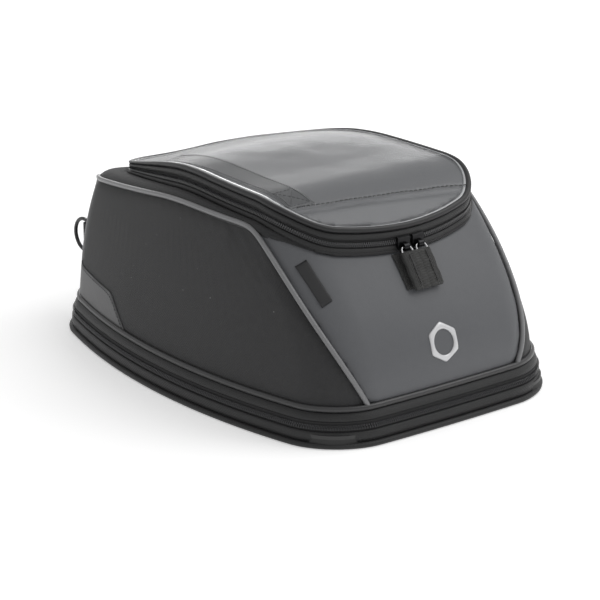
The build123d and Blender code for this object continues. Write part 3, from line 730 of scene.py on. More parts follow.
def lint_group():
    """Mask of a few small specks of dust."""
    tree, start, end = group(
        "TB Lint",
        [("Vector", "Vector", None), ("Density", "Float", 140.0), ("Size", "Float", 0.07)],
        [("Mask", "Float")],
    )
    cells = add_node(tree, "TexVoronoi", start.outputs["Vector"])
    tree.links.new(start.outputs["Density"], cells.inputs["Scale"])
    near = maths(tree, "LESS_THAN", cells.outputs["Distance"], start.outputs["Size"])
    pick = add_node(tree, "SeparateXYZ", cells.outputs["Color"])
    few = maths(tree, "GREATER_THAN", pick.outputs[0], 0.93)
    tree.links.new(maths(tree, "MULTIPLY", near, few), end.inputs["Mask"])
    return tree


def grain_group():
    """Pebbled grain of leather or moulded rubber."""
    tree, start, end = group(
        "TB Grain", [("Vector", "Vector", None), ("Scale", "Float", 700.0)], [("Height", "Float")]
    )
    cells = add_node(tree, "TexVoronoi", start.outputs["Vector"], feature="SMOOTH_F1")
    tree.links.new(start.outputs["Scale"], cells.inputs["Scale"])
    soft = add_node(tree, "TexNoise", start.outputs["Vector"])
    tree.links.new(start.outputs["Scale"], soft.inputs["Scale"])
    tree.links.new(maths(tree, "ADD", cells.outputs["Distance"], soft.outputs["Fac"]), end.inputs["Height"])
    return tree


class Finishes:
    """The bag's procedural materials, made once."""

    def __init__(self):
        self.weave, self.mottle = weave_group(), mottle_group()
        self.lint, self.grain = lint_group(), grain_group()
        self.made = {}

    def start(self, name, colour, roughness, metallic=0.0, **values):
        """New material with its plain values."""
        material = bpy.data.materials.new("tb_" + name)
        material.use_nodes = True
        tree = material.node_tree
        shader = tree.nodes["Principled BSDF"]
        shader.inputs["Base Color"].default_value = (*colour, 1)
        shader.inputs["Roughness"].default_value = roughness
        shader.inputs["Metallic"].default_value = metallic
        for key, value in values.items():
            shader.inputs[key.replace("_", " ")].default_value = value
        self.made[name] = material
        return tree, shader

    def fabric(self, name, colour, roughness, pitch, depth, uneven=0.25, lint=0.0, woven=True, **values):
        """Woven or grained cloth; woven cloth has painted shade in the gaps between its yarns."""
        tree, shader = self.start(name, colour, roughness, **values)
        spots = add_node(tree, "TexCoord")
        if woven:
            cloth = add_node(tree, "Group", node_tree=self.weave)
            cloth.inputs["Pitch"].default_value = pitch
            tree.links.new(spots.outputs["UV"], cloth.inputs["Vector"])
        else:
            cloth = add_node(tree, "Group", node_tree=self.grain)
            cloth.inputs["Scale"].default_value = 1.0 / pitch
            tree.links.new(spots.outputs["Object"], cloth.inputs["Vector"])
        tone = add_node(tree, "Group", node_tree=self.mottle)
        tone.inputs["Amount"].default_value = uneven
        tree.links.new(spots.outputs["Object"], tone.inputs["Vector"])
        shade = add_node(tree, "VectorMath", colour, operation="SCALE")
        factor = tone.outputs["Tone"]
        if woven:
            # painted shade: the colour is darkened by up to 45% in the gaps between the yarns
            dark = maths(tree, "MULTIPLY", cloth.outputs["Gaps"], 0.45)
            factor = maths(tree, "MULTIPLY", factor, maths(tree, "SUBTRACT", 1.0, dark))
        tree.links.new(factor, shade.inputs["Scale"])
        final = shade.outputs[0]
        if lint:
            specks = add_node(tree, "Group", node_tree=self.lint)
            tree.links.new(spots.outputs["Object"], specks.inputs["Vector"])
            mixed = add_node(tree, "Mix", data_type="RGBA")
            tree.links.new(maths(tree, "MULTIPLY", specks.outputs["Mask"], lint), mixed.inputs[0])
            tree.links.new(final, mixed.inputs[6])
            mixed.inputs[7].default_value = (0.35, 0.35, 0.34, 1)
            final = mixed.outputs[2]
        tree.links.new(final, shader.inputs["Base Color"])
        bump = add_node(tree, "Bump")
        bump.inputs["Strength"].default_value = 0.6
        bump.inputs["Distance"].default_value = depth
        tree.links.new(cloth.outputs["Height"], bump.inputs["Height"])
        tree.links.new(bump.outputs[0], shader.inputs["Normal"])
        return self.made[name]

    def hard(self, name, colour, roughness, metallic=0.0, uneven=0.12, **values):
        """Metal, plastic or rubber with a slightly uneven surface."""
        tree, shader = self.start(name, colour, roughness, metallic, **values)
        spots = add_node(tree, "TexCoord")
        tone = add_node(tree, "Group", node_tree=self.mottle)
        tone.inputs["Broad"].default_value = 60.0
        tone.inputs["Fine"].default_value = 900.0
        tone.inputs["Amount"].default_value = uneven
        tree.links.new(spots.outputs["Object"], tone.inputs["Vector"])
        shade = add_node(tree, "VectorMath", colour, operation="SCALE")
        tree.links.new(tone.outputs["Tone"], shade.inputs["Scale"])
        tree.links.new(shade.outputs[0], shader.inputs["Base Color"])
        rough = maths(tree, "MULTIPLY", tone.outputs["Tone"], roughness)
        tree.links.new(rough, shader.inputs["Roughness"])
        return self.made[name]

    def __getitem__(self, name):
        if name not in self.made:
            self.everything()
        return self.made[name]

    def everything(self):
        """All the finishes."""
        fabric, hard = self.fabric, self.hard
        fabric("side_fabric", (0.025, 0.025, 0.026), 0.86, 0.0011, 0.00025, 0.3, 0.5, Sheen_Weight=0.12)
        fabric("front_fabric", (0.095, 0.098, 0.105), 0.50, 0.0004, 0.00003, 0.10, Sheen_Weight=0.05)
        fabric("shoulder_fabric", (0.016, 0.016, 0.017), 0.72, 0.0009, 0.0002, 0.2, Sheen_Weight=0.08)
        fabric("patch_leather", (0.088, 0.088, 0.090), 0.5, 0.0012, 0.00025, 0.15, woven=False)
        fabric("black_webbing", (0.0075, 0.0075, 0.008), 0.48, 0.0013, 0.0003, 0.2, Sheen_Weight=0.02)
        fabric("zip_tape", (0.006, 0.006, 0.0065), 0.7, 0.0007, 0.0002, 0.2)
        hard("zip_coil", (0.045, 0.045, 0.047), 0.22, 0.0, 0.15)
        fabric("dark_piping", (0.009, 0.009, 0.010), 0.42, 0.0006, 0.00006, 0.15)
        fabric("foot_piping", (0.032, 0.032, 0.033), 0.34, 0.0006, 0.00006, 0.15, Coat_Weight=0.1)
        fabric("grey_piping", (0.19, 0.19, 0.194), 0.28, 0.0006, 0.00008, 0.08, Coat_Weight=0.1)
        fabric("lining_fabric", (0.06, 0.06, 0.062), 0.8, 0.0009, 0.0001, 0.15)
        fabric("label_fabric", (0.012, 0.012, 0.013), 0.55, 0.0006, 0.0001, 0.15)
        hard("silver_print", (0.62, 0.62, 0.63), 0.35, 0.25, 0.06)
        fabric("hook_tape", (0.016, 0.016, 0.015), 0.6, 0.0011, 0.0012, 0.9, Sheen_Weight=0.1)
        fabric("strap_webbing", (0.014, 0.014, 0.015), 0.6, 0.0016, 0.0004, 0.2)
        fabric("thread", (0.035, 0.035, 0.036), 0.5, 0.0005, 0.00005, 0.1)
        hard("moulded_plastic", (0.012, 0.012, 0.013), 0.28, 0.0, 0.1)
        hard("pad_rubber", (0.022, 0.022, 0.022), 0.75, 0.0, 0.2)
        hard("board_plastic", (0.03, 0.03, 0.03), 0.5)
        hard("black_metal", (0.02, 0.02, 0.021), 0.3, 0.9)
        hard("ring_steel", (0.55, 0.55, 0.56), 0.25, 1.0, 0.05)
        hard("screw_steel", (0.45, 0.45, 0.46), 0.35, 1.0, 0.1)
        fabric(
            "lid_fabric", (0.094, 0.097, 0.103), 0.45, 0.0005, 0.00002, 0.06,
            Coat_Weight=0.5, Coat_Roughness=0.3, Coat_IOR=1.5,
        )
        fabric(
            "under_strip", (0.008, 0.008, 0.008), 0.6, 0.0014, 0.0003, 0.2,
            Coat_Weight=0.3, Coat_Roughness=0.2,
        )
        # rolled film edge: its light grey base colour at near-full alpha is a painted highlight along the
        # rim; its glossy coat adds real reflections
        fabric(
            "film_edge", (0.46, 0.468, 0.48), 0.12, 0.0006, 0.00001, 0.05,
            Alpha=0.9, Coat_Weight=1.0, Coat_Roughness=0.06,
        )
        tree, shader = self.start("clear_film", (0.25, 0.257, 0.268), 0.22)
        shader.inputs["Alpha"].default_value = 0.20
        spots = add_node(tree, "TexCoord")
        ripples = add_node(tree, "TexNoise", spots.outputs["Object"])
        ripples.inputs["Scale"].default_value = 28.0
        bump = add_node(tree, "Bump")
        bump.inputs["Strength"].default_value = 0.35
        bump.inputs["Distance"].default_value = 0.0016
        tree.links.new(ripples.outputs["Fac"], bump.inputs["Height"])
        tree.links.new(bump.outputs[0], shader.inputs["Normal"])


finishes = Finishes()


# ---- operators ----------------------------------------------------------------------------
def front_zone(x, _y):
    """True where the zip runs."""
    return x > HINGE_X


def hinge_zone(x, _y):
    """True where the hinge strip runs."""
    return x < HINGE_X + 0.002


class TANKBAG_OT_body(bpy.types.Operator):
    """Build the fabric wall, its shoulder strip, its lining and the piping along its seams"""

    bl_idname = "tank_bag.body"
    bl_label = "Body"

    def execute(self, context):
        settings = context.scene.tank_bag_body
        thread = context.scene.tank_bag_trim
        wall = Wall(settings)
        self.panels(wall, settings)
        self.shoulder(wall, settings)
        self.lining(wall, settings)
        self.patches(wall, thread)
        self.mouth()
        return {"FINISHED"}

    def panels(self, wall, settings):
        """Side panels with their piping, and the front and rear panels."""
        cloth = finishes["side_fabric"]
        for side, word in ((-1, "right"), (1, "left")):
            made = wall.mesh(wall.grid)
            trim(made, lambda p: side_field(p) if p[1] * side > 0 else -0.01)
            line = rim_line(made, lambda a, b: max(a.z, b.z) < FOOT_Z + 0.0005)
            wall.seam_dip(made, self.seam_gap, settings)
            piece = solid(piece_from(made, "side_panel_%s_cloth" % word, [cloth]), settings.wall)
            place(piece, "shell", "side_fabric", "side_panel_" + word)
            self.piping(line, word, settings)
        for word, way in (("front", 1), ("rear", -1)):
            made = wall.mesh(wall.grid)
            trim(made, lambda p: -side_field(p) if p[0] * way > 0 else -0.01)
            wall.seam_dip(made, side_field, settings)
            name = "front_fabric" if word == "front" else "side_fabric"
            piece = solid(piece_from(made, word + "_panel_cloth", [finishes[name]]), settings.wall)
            place(piece, "shell", name, word + "_panel")

    @staticmethod
    def seam_gap(p):
        """Distance from a place on the side panel to its nearest seam."""
        return min(abs(side_field(p)), abs(crest(p[0]) - 0.003 - p[2]))

    @staticmethod
    def piping(line, word, settings):
        """Grey cord along the seam of a side panel."""
        line = even(relax(even(line, 0.004, False), 8), 0.0025, False)
        middle = np.array([0.0, 0.0, 0.08])
        away = line - middle
        away[:, 0] *= 0.4
        away /= np.linalg.norm(away, axis=1)[:, None]
        build = Build()
        build.tube(line + away * 0.0008, settings.piping)
        piece = build.object("side_piping_%s_cord" % word, [finishes["grey_piping"]])
        place(piece, "shell", "grey_piping", "side_piping_" + word)

    @staticmethod
    def shoulder(wall, settings):
        """Black strip between the walls and the mouth."""
        made = wall.mesh(wall.strip)
        piece = piece_from(made, "shoulder_panel_cloth", [finishes["shoulder_fabric"]])
        place(solid(piece, settings.wall * 0.6), "shell", "side_fabric", "shoulder_panel")

    @staticmethod
    def lining(wall, settings):
        """Lining inside the walls and the shoulder."""
        gap = settings.wall + 0.0008
        inner = wall.grid[::3] - wall.normals[::3] * gap
        under = wall.strip[2::2] - np.array([0, 0, gap])
        made = wall.mesh(np.concatenate([inner, under]))
        for f in made.faces:
            f.normal_flip()
        piece = solid(piece_from(made, "body_lining_cloth", [finishes["lining_fabric"]]), 0.0006)
        place(piece, "shell", "lining_fabric", "body_lining")

    @staticmethod
    def patches(wall, thread):
        """Reinforcing patches at the two rear corners."""
        tops = ((-0.180, 0.059), (-0.096, 0.056), (-0.060, 0.028))

        def field(p):
            top = np.interp(p[0], [t[0] for t in tops], [t[1] for t in tops])
            return min(top - p[2], p[0] + 0.180, 0.5 * (-0.062 - p[0]))

        for side, word in ((-1, "right"), (1, "left")):
            made = wall.mesh(wall.grid + wall.normals * 0.0012)
            trim(made, lambda p: field(p) if p[1] * side > 0 else -0.01)
            line = rim_line(made, lambda a, b: field(a) > 0.001 or field(b) > 0.001)
            piece = piece_from(made, "corner_patch_%s_leather" % word, [finishes["patch_leather"]])
            place(solid(piece, 0.0012), "shell", "patch_leather", "corner_patch_" + word)
            line = even(relax(even(line, 0.004, False), 6), 0.002, False)
            out = np.tile([0.0, side * 1.0, 0.2], (len(line), 1))
            build = Build()
            inset = line - np.array([0.0, 0.0, 0.0022])
            build.stitches(inset + out * 0.0003, out, thread.stitch, thread.thread, 0)
            sewn = build.object("corner_patch_%s_stitches" % word, [finishes["thread"]])
            place(sewn, "shell", "patch_leather")

    @staticmethod
    def mouth():
        """Bands, zip halves and hinge round the mouth."""
        zips = bpy.context.scene.tank_bag_zip
        loop = even(plan(MOUTH), 0.003)
        build = Build()
        build.ring(
            loop,
            [(-3.6, -2), (2.4, -2.2), (3.3, -1.4), (3.5, 1.0), (3.1, 3.4), (2.2, 4.1), (-3.6, 4.1)],
            mouth_height,
        )
        piece = build.object("mouth_band_web", [finishes["black_webbing"]])
        place(piece, "shell", "black_webbing", "mouth_band")
        for name, body, tape, teeth, shift in (
            ("main_zip_lower", "shell", (3.6, 6.4), (5.3, 7.3), 0.0),
            ("main_zip_upper", "lid", (7.7, 10.8), (8.8, 6.8), 0.5),
        ):
            build = Build()
            (low, high), (root, tip) = tape, teeth
            build.ring(loop, [(0.2, low), (1.7, low), (1.7, high), (0.2, high)], mouth_height, front_zone)
            build.teeth(
                loop, root, tip, -1.2, 3.0, zips.pitch, zips.tooth, shift, mouth_height, front_zone
            )
            piece = build.object(name + "_tape", [finishes["zip_tape"], finishes["zip_coil"]], False)
            place(piece, body, "zip_tape", name)
        build = Build()
        build.ring(
            loop,
            [
                (-1.2, 2.6),
                (1.2, 2.6),
                (1.5, 4.5),
                (1.5, 6.5),
                (1.5, 8.5),
                (1.2, 11.5),
                (-1.2, 11.5),
                (-1.0, 7.0),
            ],
            mouth_height,
            hinge_zone,
        )
        piece = build.object("lid_hinge_web", [finishes["black_webbing"]])
        base, reach = mouth_height(MOUTH[0], 0.0), squeeze(MOUTH[0])
        low, high = base + 0.003 * reach, base + 0.0105 * reach
        MOUTH[0] - 0.002
        MOUTH[0] - 0.002
        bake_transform(piece)
        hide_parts("lid_hinge_strip")


class TANKBAG_OT_lid(bpy.types.Operator):
    """Build the lid: its band, rim piping, grey panel, strip, lining and clear film"""

    bl_idname = "tank_bag.lid"
    bl_label = "Lid"

    def execute(self, context):
        settings = context.scene.tank_bag_lid
        loop = even(plan(MOUTH), 0.003)
        self.loop = loop
        build = Build()
        build.ring(
            loop,
            [(-2.4, 9.8), (1.5, 9.8), (2.5, 10.6), (2.9, 12.8), (2.5, 15.0), (1.4, 15.9), (-2.4, 15.9)],
            mouth_height,
        )
        place(build.object("lid_band_web", [finishes["black_webbing"]]), "lid", "black_webbing", "lid_band")
        build = Build()
        build.ring(loop, round_section(0.6, 18.5, 2.5, 2.6), mouth_height)
        build.ring(loop, [(-5.0, 16.2), (0.5, 16.2), (0.5, 18.4), (-5.0, 19.2)], mouth_height)
        piece = build.object("window_piping_cord", [finishes["dark_piping"]])
        place(piece, "lid", "dark_piping", "window_piping")
        self.film(settings)
        panel = self.sheet(settings, -settings.film_gap, 0.0032, "lid_panel_cloth", "lid_fabric")
        place(solid(panel, 0.0026), "lid", "front_fabric", "lid_panel")
        lining = self.sheet(settings, -0.0055, 0.0050, "lid_lining_cloth", "lining_fabric")
        place(solid(lining, 0.001), "lid", "lining_fabric", "lid_lining")
        self.strip(settings, context.scene.tank_bag_trim)
        return {"FINISHED"}

    def inside(self, x, y):
        """Distance in from the zip line, negative outside."""
        spot = np.array([x, y])
        gaps = self.loop - spot
        near = int((gaps**2).sum(1).argmin())
        out = outward(self.loop[[near - 1, near, (near + 1) % len(self.loop)]])[1]
        return float(gaps[near] @ out)

    def height(self, x, y, settings, groove=True):
        """Top of the clear film."""
        depth = max(0.0, self.inside(x, y) - 0.0035)
        rear = min(1.0, max(0.0, (0.045 - x) / 0.10))
        fullness = (0.3 + 0.7 * rear) * (0.4 + 0.6 * min(1.0, max(0.0, (x + 0.19) / 0.11)))
        top = mouth_height(x, y) + 0.0206 * squeeze(x)
        top += settings.crown * fullness * (1 - math.exp(-depth / 0.030))
        ripple = noise.noise(Vector((x * 16, y * 16, 0.3)))
        ripple += 0.35 * noise.noise(Vector((x * 45, y * 45, 2.0)))
        top += settings.ripple * ripple * (1 - math.exp(-depth / 0.02))
        if groove:
            crease = x - fold_x(y)
            top -= 0.0010 * math.exp(-((crease / 0.0011) ** 2))
            top += 0.00025 * math.exp(-((crease / 0.004) ** 2)) * (0.6 + 0.4 * math.sin(y * 900))
        return top

    def sheet(self, settings, rise, inset, name, finish):
        """Sheet that fills the lid, at a height from the film's top."""
        across = np.arange(-0.102, 0.1021, 0.0034)
        near, coarse, fine = 0.006, 0.0042, 0.0006
        along = np.concatenate(
            [
                np.arange(-0.185, FOLD_X - near, coarse),
                np.arange(FOLD_X - near, FOLD_X + near, fine),
                np.arange(FOLD_X + near, 0.16, coarse),
            ]
        )
        made = bmesh.new()
        layer = made.loops.layers.uv.new("UVMap")
        verts = [[made.verts.new((a + FOLD_SLANT * y, y, 0)) for y in across] for a in along]
        for i in range(len(along) - 1):
            for j in range(len(across) - 1):
                corners = (verts[i][j], verts[i + 1][j], verts[i + 1][j + 1], verts[i][j + 1])
                face = made.faces.new(corners)
                face.smooth = True
                for corner_loop in face.loops:
                    corner_loop[layer].uv = corner_loop.vert.co.xy
        made.verts.index_update()
        trim(made, lambda p: self.inside(p[0], p[1]) - inset)
        for v in made.verts:
            v.co.z = self.height(v.co.x, v.co.y, settings) + rise
        return piece_from(made, name, [finishes[finish]])

    def film(self, settings):
        """Clear film with its rolled edge, whose light colour is a painted highlight, and the sewn fold
        across it.
        """
        piece = self.sheet(settings, 0.0, 0.0034, "window_film_sheet", "clear_film")
        place(solid(piece, 0.0005), "lid", "clear_film", "window_film")
        build = Build()
        build.ring(
            even(plan(MOUTH), 0.004),
            [
                (-1.0, 18.4),
                (-1.1, 19.4),
                (-1.6, 20.1),
                (-2.4, 20.5),
                (-3.7, 20.65),
                (-3.7, 20.1),
                (-2.4, 20.0),
                (-1.8, 19.4),
            ],
            mouth_height,
        )
        seam = [(fold_x(y), y) for y in np.arange(-0.084, 0.0841, 0.002)]
        seam = np.array([(x, y, self.height(x, y, settings) + 0.0006) for x, y in seam])
        sewn = Build()
        sewn.stitches(seam, np.tile([0.45, 0.0, 0.9], (len(seam), 1)), 0.0030, 0.00042, 0, 0.5)
        place(sewn.object("window_film_seam", [finishes["thread"]]), "lid", "clear_film")
        place(build.object("window_film_edge", [finishes["film_edge"]]), "lid", "clear_film")

    def strip(self, settings, thread):
        """Webbing strip under the film beside the right rim, sewn down at its front end."""
        half = settings.strip_width / 2
        run = np.arange(STRIP_REAR[0], 0.1091, 0.004)
        middle = strip_y(run)
        rise = -settings.film_gap + 0.0004
        verts, faces, uvs = [], [], []
        offsets = np.linspace(-half, half, 9)
        for i, (x, y) in enumerate(zip(run, middle)):
            for j, o in enumerate(offsets):
                lift = 0.0003 * (1 - abs(o / half) ** 6)
                verts.append((x, y + o, self.height(x, y + o, settings, False) + rise + lift))
                uvs.append((x, y + o))
        wide = len(offsets)
        for i in range(len(run) - 1):
            for j in range(wide - 1):
                a = i * wide + j
                faces.append((a, a + wide, a + wide + 1, a + 1))
        build = Build()
        build.add(verts, faces, uvs)
        piece = solid(build.object("window_strip_web", [finishes["under_strip"]]), 0.0008)
        place(piece, "lid", "black_webbing", "window_strip")

        def on_strip(points):
            return np.array([(x, y, self.height(x, y, settings, False) + rise + 0.0005) for x, y in points])

        build = Build()
        for edge in (-half + 0.003, half - 0.003):
            spots = on_strip([(x, strip_y(x) + edge) for x in np.arange(-0.08, 0.106, 0.004)])
            build.stitches(spots, np.tile(LEVEL_UP, (len(spots), 1)), thread.stitch, thread.thread, 0)
        (near, inner), (far, outer) = (0.080, -0.0665), (0.104, -0.0865)
        box = [(near, inner), (far, inner), (far, outer), (near, outer), (near, inner)]
        cross = [[(near, inner), (far, outer)], [(near, outer), (far, inner)]]
        for line in [box, *cross]:
            spots = on_strip(even(np.array(line), 0.002, False))
            build.stitches(spots, np.tile(LEVEL_UP, (len(spots), 1)), thread.stitch, thread.thread, 0)
        place(build.object("window_strip_stitches", [finishes["thread"]]), "lid", "black_webbing")


class TANKBAG_OT_base(bpy.types.Operator):
    """Build the base bands, the expansion zip and its gusset"""

    bl_idname = "tank_bag.base"
    bl_label = "Base"

    def execute(self, context):
        settings, teeth = context.scene.tank_bag_base, context.scene.tank_bag_zip
        loop = even(plan(FOOT), 0.004)
        webbing = [finishes["black_webbing"]]
        rings = (
            (
                "skirt_band",
                "shell",
                [(-3.8, 28), (0.6, 28.2), (3.2, 27.2), (5.0, 24.5), (6.1, 21.8), (5.6, 20.8), (-3.8, 20.8)],
            ),
            ("base_band", "base", [(5, 4), (8.1, 4.2), (8.5, 8), (8.3, 11.6), (7.6, 13.0), (5, 13.1)]),
            (
                "base_binding",
                "base",
                [(5, 0.2), (9.8, 0), (10.9, 1.0), (11.1, 2.4), (10.2, 3.8), (8.4, 4.3), (5, 4.1)],
            ),
        )
        for name, body, section in rings:
            build = Build()
            build.ring(loop, section)
            place(build.object(name + "_web", webbing), body, "black_webbing", name)
        build = Build()
        build.ring(loop, round_section(1.3, 30.1, 2.4, 2.5))
        piece = build.object("foot_piping_cord", [finishes["foot_piping"]])
        place(piece, "shell", "dark_piping", "foot_piping")
        for name, body, tape, tooth, shift in (
            ("expansion_zip_lower", "base", (12.9, 16.2), (15.0, 17.2), 0.0),
            ("expansion_zip_upper", "shell", (17.8, 21.2), (18.9, 16.8), 0.5),
        ):
            build = Build()
            (low, high), (root, tip) = tape, tooth
            build.ring(loop, [(4.6, low), (6.4, low), (6.4, high), (4.6, high)])
            build.teeth(loop, root, tip, 4.4, 7.8, teeth.pitch, teeth.tooth, shift)
            piece = build.object(name + "_tape", [finishes["zip_tape"], finishes["zip_coil"]], False)
            place(piece, body, "zip_tape", name)
        self.gusset(loop, settings)
        return {"FINISHED"}

    @staticmethod
    def gusset(loop, settings):
        """Pleated fabric behind the expansion zip."""
        folds = 2 * settings.pleats
        outer = [(1.8 if k % 2 else -1.6, 11.6 + 9.2 * k / folds) for k in range(folds + 1)]
        inner = [(o - 0.7, z) for o, z in reversed(outer)]
        build = Build()
        build.ring(loop, outer + inner)
        piece = build.object("expansion_gusset_cloth", [finishes["lining_fabric"]])
        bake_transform(piece)
        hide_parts("expansion_gusset")


class TANKBAG_OT_trims(bpy.types.Operator):
    """Build the emblem, label, keeper patch, pull tab and rings, and the webbing of the accessory rings"""

    bl_idname = "tank_bag.trims"
    bl_label = "Trims"

    def execute(self, context):
        settings = context.scene.tank_bag_trim
        self.tree = Wall(context.scene.tank_bag_body).tree()
        self.emblem()
        self.label()
        self.keeper()
        self.pulls(settings)
        self.loops()
        self.latch_pull()
        return {"FINISHED"}

    def on_front(self, y, z, lift):
        """Place on the front of the wall, raised by lift, and the normal there."""
        spot, normal, _, _ = self.tree.ray_cast(Vector((0.4, y, z)), Vector((-1, 0, 0)))
        if spot is None:
            raise ValueError("no wall at y %.3f z %.3f" % (y, z))
        if normal.x < 0:
            normal = -normal
        return spot + normal * lift, normal

    def draped(self, name, finish, rows, lift, thickness, closed_rows=False):
        """Thin piece laid on the front wall from rows of (y, z) places; lift may vary by row."""
        verts, uvs, faces = [], [], []
        wide = len(rows[0])
        for i, row in enumerate(rows):
            rise = lift[i] if isinstance(lift, (list, tuple)) else lift
            for y, z in row:
                verts.append(self.on_front(y, z, rise)[0])
                uvs.append((y, z))
        for i in range(len(rows) - 1):
            for j in range(wide if closed_rows else wide - 1):
                k = (j + 1) % wide
                faces.append((i * wide + j, (i + 1) * wide + j, (i + 1) * wide + k, i * wide + k))
        build = Build()
        build.add(verts, faces, uvs)
        piece = build.object(name, [finishes[finish]])
        solid(piece, thickness)
        return piece

    def emblem(self):
        """Plain six-sided ring, raised like a thick print."""
        rows = []
        for k in range(9):
            share = k / 8
            row = []
            for i in range(72):
                a = 2 * math.pi * i / 72 + math.pi / 6
                sector = (a % (math.pi / 3)) - math.pi / 6
                outer = 0.0138 / math.cos(sector) * (1 - 0.03 * (sector / 0.5236) ** 8)
                radius = 0.0098 * (1 - share) + outer * share
                row.append((radius * math.sin(a), 0.066 + radius * math.cos(a)))
            rows.append(row)
        lift = [0.0002, 0.0009, 0.0012, 0.0013, 0.0013, 0.0013, 0.0012, 0.0009, 0.0002]
        piece = self.draped("front_emblem_print", "silver_print", rows, lift, 0.0004, True)
        place(piece, "shell", "silver_print", "front_emblem")

    def label(self):
        """Plain folded label beside the right piping."""
        along, across = (0.0025, -0.0139), (0.0044, 0.0023)
        centre = (-0.0920, 0.1204)
        rows = []
        for a in np.linspace(-1, 1, 20):
            rows.append(
                [
                    (centre[0] + along[0] * a + across[0] * b, centre[1] + along[1] * a + across[1] * b)
                    for b in np.linspace(-1, 1, 8)
                ]
            )
        ends = [0.0006, 0.0014] + [0.0017] * 2 + [0.0012] * 12 + [0.0017] * 2 + [0.0014, 0.0006]
        piece = self.draped("label_tag_cloth", "label_fabric", rows, ends, 0.0005)
        place(piece, "shell", "label_fabric", "label_tag")

    def keeper(self):
        """Hook patch that the tab rests on."""
        rows = [
            [(-0.019 + 0.028 * j / 14, 0.131 - 0.024 * i / 12) for j in range(15)] for i in range(13)
        ]
        piece = self.draped("keeper_patch_cloth", "hook_tape", rows, 0.0011, 0.0007)
        place(piece, "shell", "hook_tape", "keeper_patch")

    def pulls(self, settings):
        """Wire rings on the two sliders and the doubled tab on the right one."""
        down = Vector((0.030, 0, -0.04095)).normalized()
        out = Vector((-down.z, 0, down.x))
        pivot = Vector((0.1518, 0, 0.1373))

        def spot(y, run, rise):
            return pivot + down * run + out * rise + Vector((0, y, 0))

        def taper(share, reach):
            return math.sqrt(max(0.0, 1 - max(0.0, 1 - share / reach) ** 2))

        for side, word, body in ((-1, "right", "tab_ring_right"), (1, "left", "ring_left")):
            line = []
            for i in range(40):
                a = 2 * math.pi * i / 40
                y = power(math.cos(a), 0.55) * 0.0053
                run = power(math.sin(a), 0.55) * 0.0065 + 0.0065
                line.append(spot(side * 0.0075 + y, run, 0))
            build = Build()
            build.tube(line, 0.0008, True, 12)
            piece = build.object("pull_ring_%s_wire" % word, [finishes["ring_steel"]])
            place(piece, body, "ring_steel", "pull_ring_" + word)
        build = Build()
        stations, count, tab = np.linspace(0, 1, 25), 48, 0.0325
        sections = []
        for s in stations:
            run = 0.0045 + tab * s
            ends = min(taper(s, 0.06), taper(1 - s, 0.04))
            thick = 0.0008 + 0.0015 * ends
            half = 0.0149 - 0.0012 * (1 - ends)
            ribs = 0.0003 * math.sin(run * 500)
            sections.append(
                [
                    spot(half * power(math.cos(a), 0.3), run, thick * power(math.sin(a), 0.6) + ribs)
                    for a in np.linspace(0, 2 * math.pi, count, endpoint=False)
                ]
            )
        verts = [v for ring in sections for v in ring]
        uvs = [(tab * s, k * 0.0012) for s in stations for k in range(count)]
        faces = []
        for i in range(0, (len(stations) - 1) * count, count):
            for k in range(count):
                m = (k + 1) % count
                faces.append((i + k, i + m, i + count + m, i + count + k))
        faces += [tuple(range(count)), tuple(range((len(stations) - 1) * count, len(stations) * count))]
        build.add(verts, faces, uvs)
        for y in (-0.0085, 0.0085):
            line = np.array([spot(y, 0.0065 + 0.029 * s, 0.0026) for s in np.linspace(0, 1, 24)])
            normals = np.tile(np.array(out), (24, 1))
            build.stitches(line, normals, settings.stitch, settings.thread * 1.2, 1)
        piece = build.object("pull_tab_web", [finishes["hook_tape"], finishes["thread"]])
        place(piece, "tab_ring_right", "hook_tape", "pull_tab")

    @staticmethod
    def loops():
        """Webbing loops that hold the accessory rings."""
        bar_x, bar_y, bar_z, bend = -0.205, 0.080, 0.070, 0.0026
        for side, word in ((-1, "right"), (1, "left")):
            y = side * bar_y
            start = [(-0.188, y + 0.0022), (-0.196, y + 0.0025)]
            half_turn = np.linspace(0, math.pi, 14)
            turn = [(bar_x - bend * math.sin(a), y + bend * math.cos(a)) for a in half_turn]
            end = [(-0.196, y - 0.0025), (-0.188, y - 0.0022)]
            path = even(np.array([*start, *turn, *end]), 0.001, False)
            way = np.gradient(path, axis=0)
            way /= np.linalg.norm(way, axis=1)[:, None]
            outs = np.column_stack([way[:, 1], -way[:, 0], np.zeros(len(way))])
            centres = np.column_stack([path, np.full(len(path), bar_z)])
            ups = np.tile(LEVEL_UP, (len(path), 1))
            thick, edge, wide = 0.0007, 0.0121, 0.0125
            section = [(-thick, -edge), (0.0, -wide), (thick, -edge)]
            section += [(-x, -y) for x, y in section]
            build = Build()
            build.sweep(centres, outs, ups, section, False)
            piece = build.object("ring_loop_%s_web" % word, [finishes["strap_webbing"]])
            place(piece, "shell", "strap_webbing", "ring_loop_" + word)

    @staticmethod
    def latch_pull():
        """Short webbing pull with a finger slot, under the base."""

        def outline(end, root, half, cut_x, cut_y):
            upper = [(end, half - cut_y), (end + cut_x, half), (root, half)]
            return upper + [(x, -y) for x, y in reversed(upper)]

        outer = outline(-0.102, -0.068, 0.0074, 0.0012, 0.0012)
        inner = outline(-0.097, -0.0892, 0.005, 0.0008, 0.0008)
        verts, uvs, faces = [], [], []
        for z in (0.0021, 0.0043):
            for loop in (outer, inner):
                verts += [(x, y, z) for x, y in loop]
                uvs += [(x, y) for x, y in loop]
        for k in range(6):
            m = (k + 1) % 6
            faces += [(k, m, 6 + m, 6 + k), (12 + m, 12 + k, 18 + k, 18 + m)]
            faces += [(k, 12 + k, 12 + m, m), (6 + m, 18 + m, 18 + k, 6 + k)]
        build = Build()
        build.add(verts, faces, uvs)
        piece = build.object("latch_pull_web", [finishes["strap_webbing"]], False)
        place(piece, "socket_latch", "strap_webbing", "latch_pull")


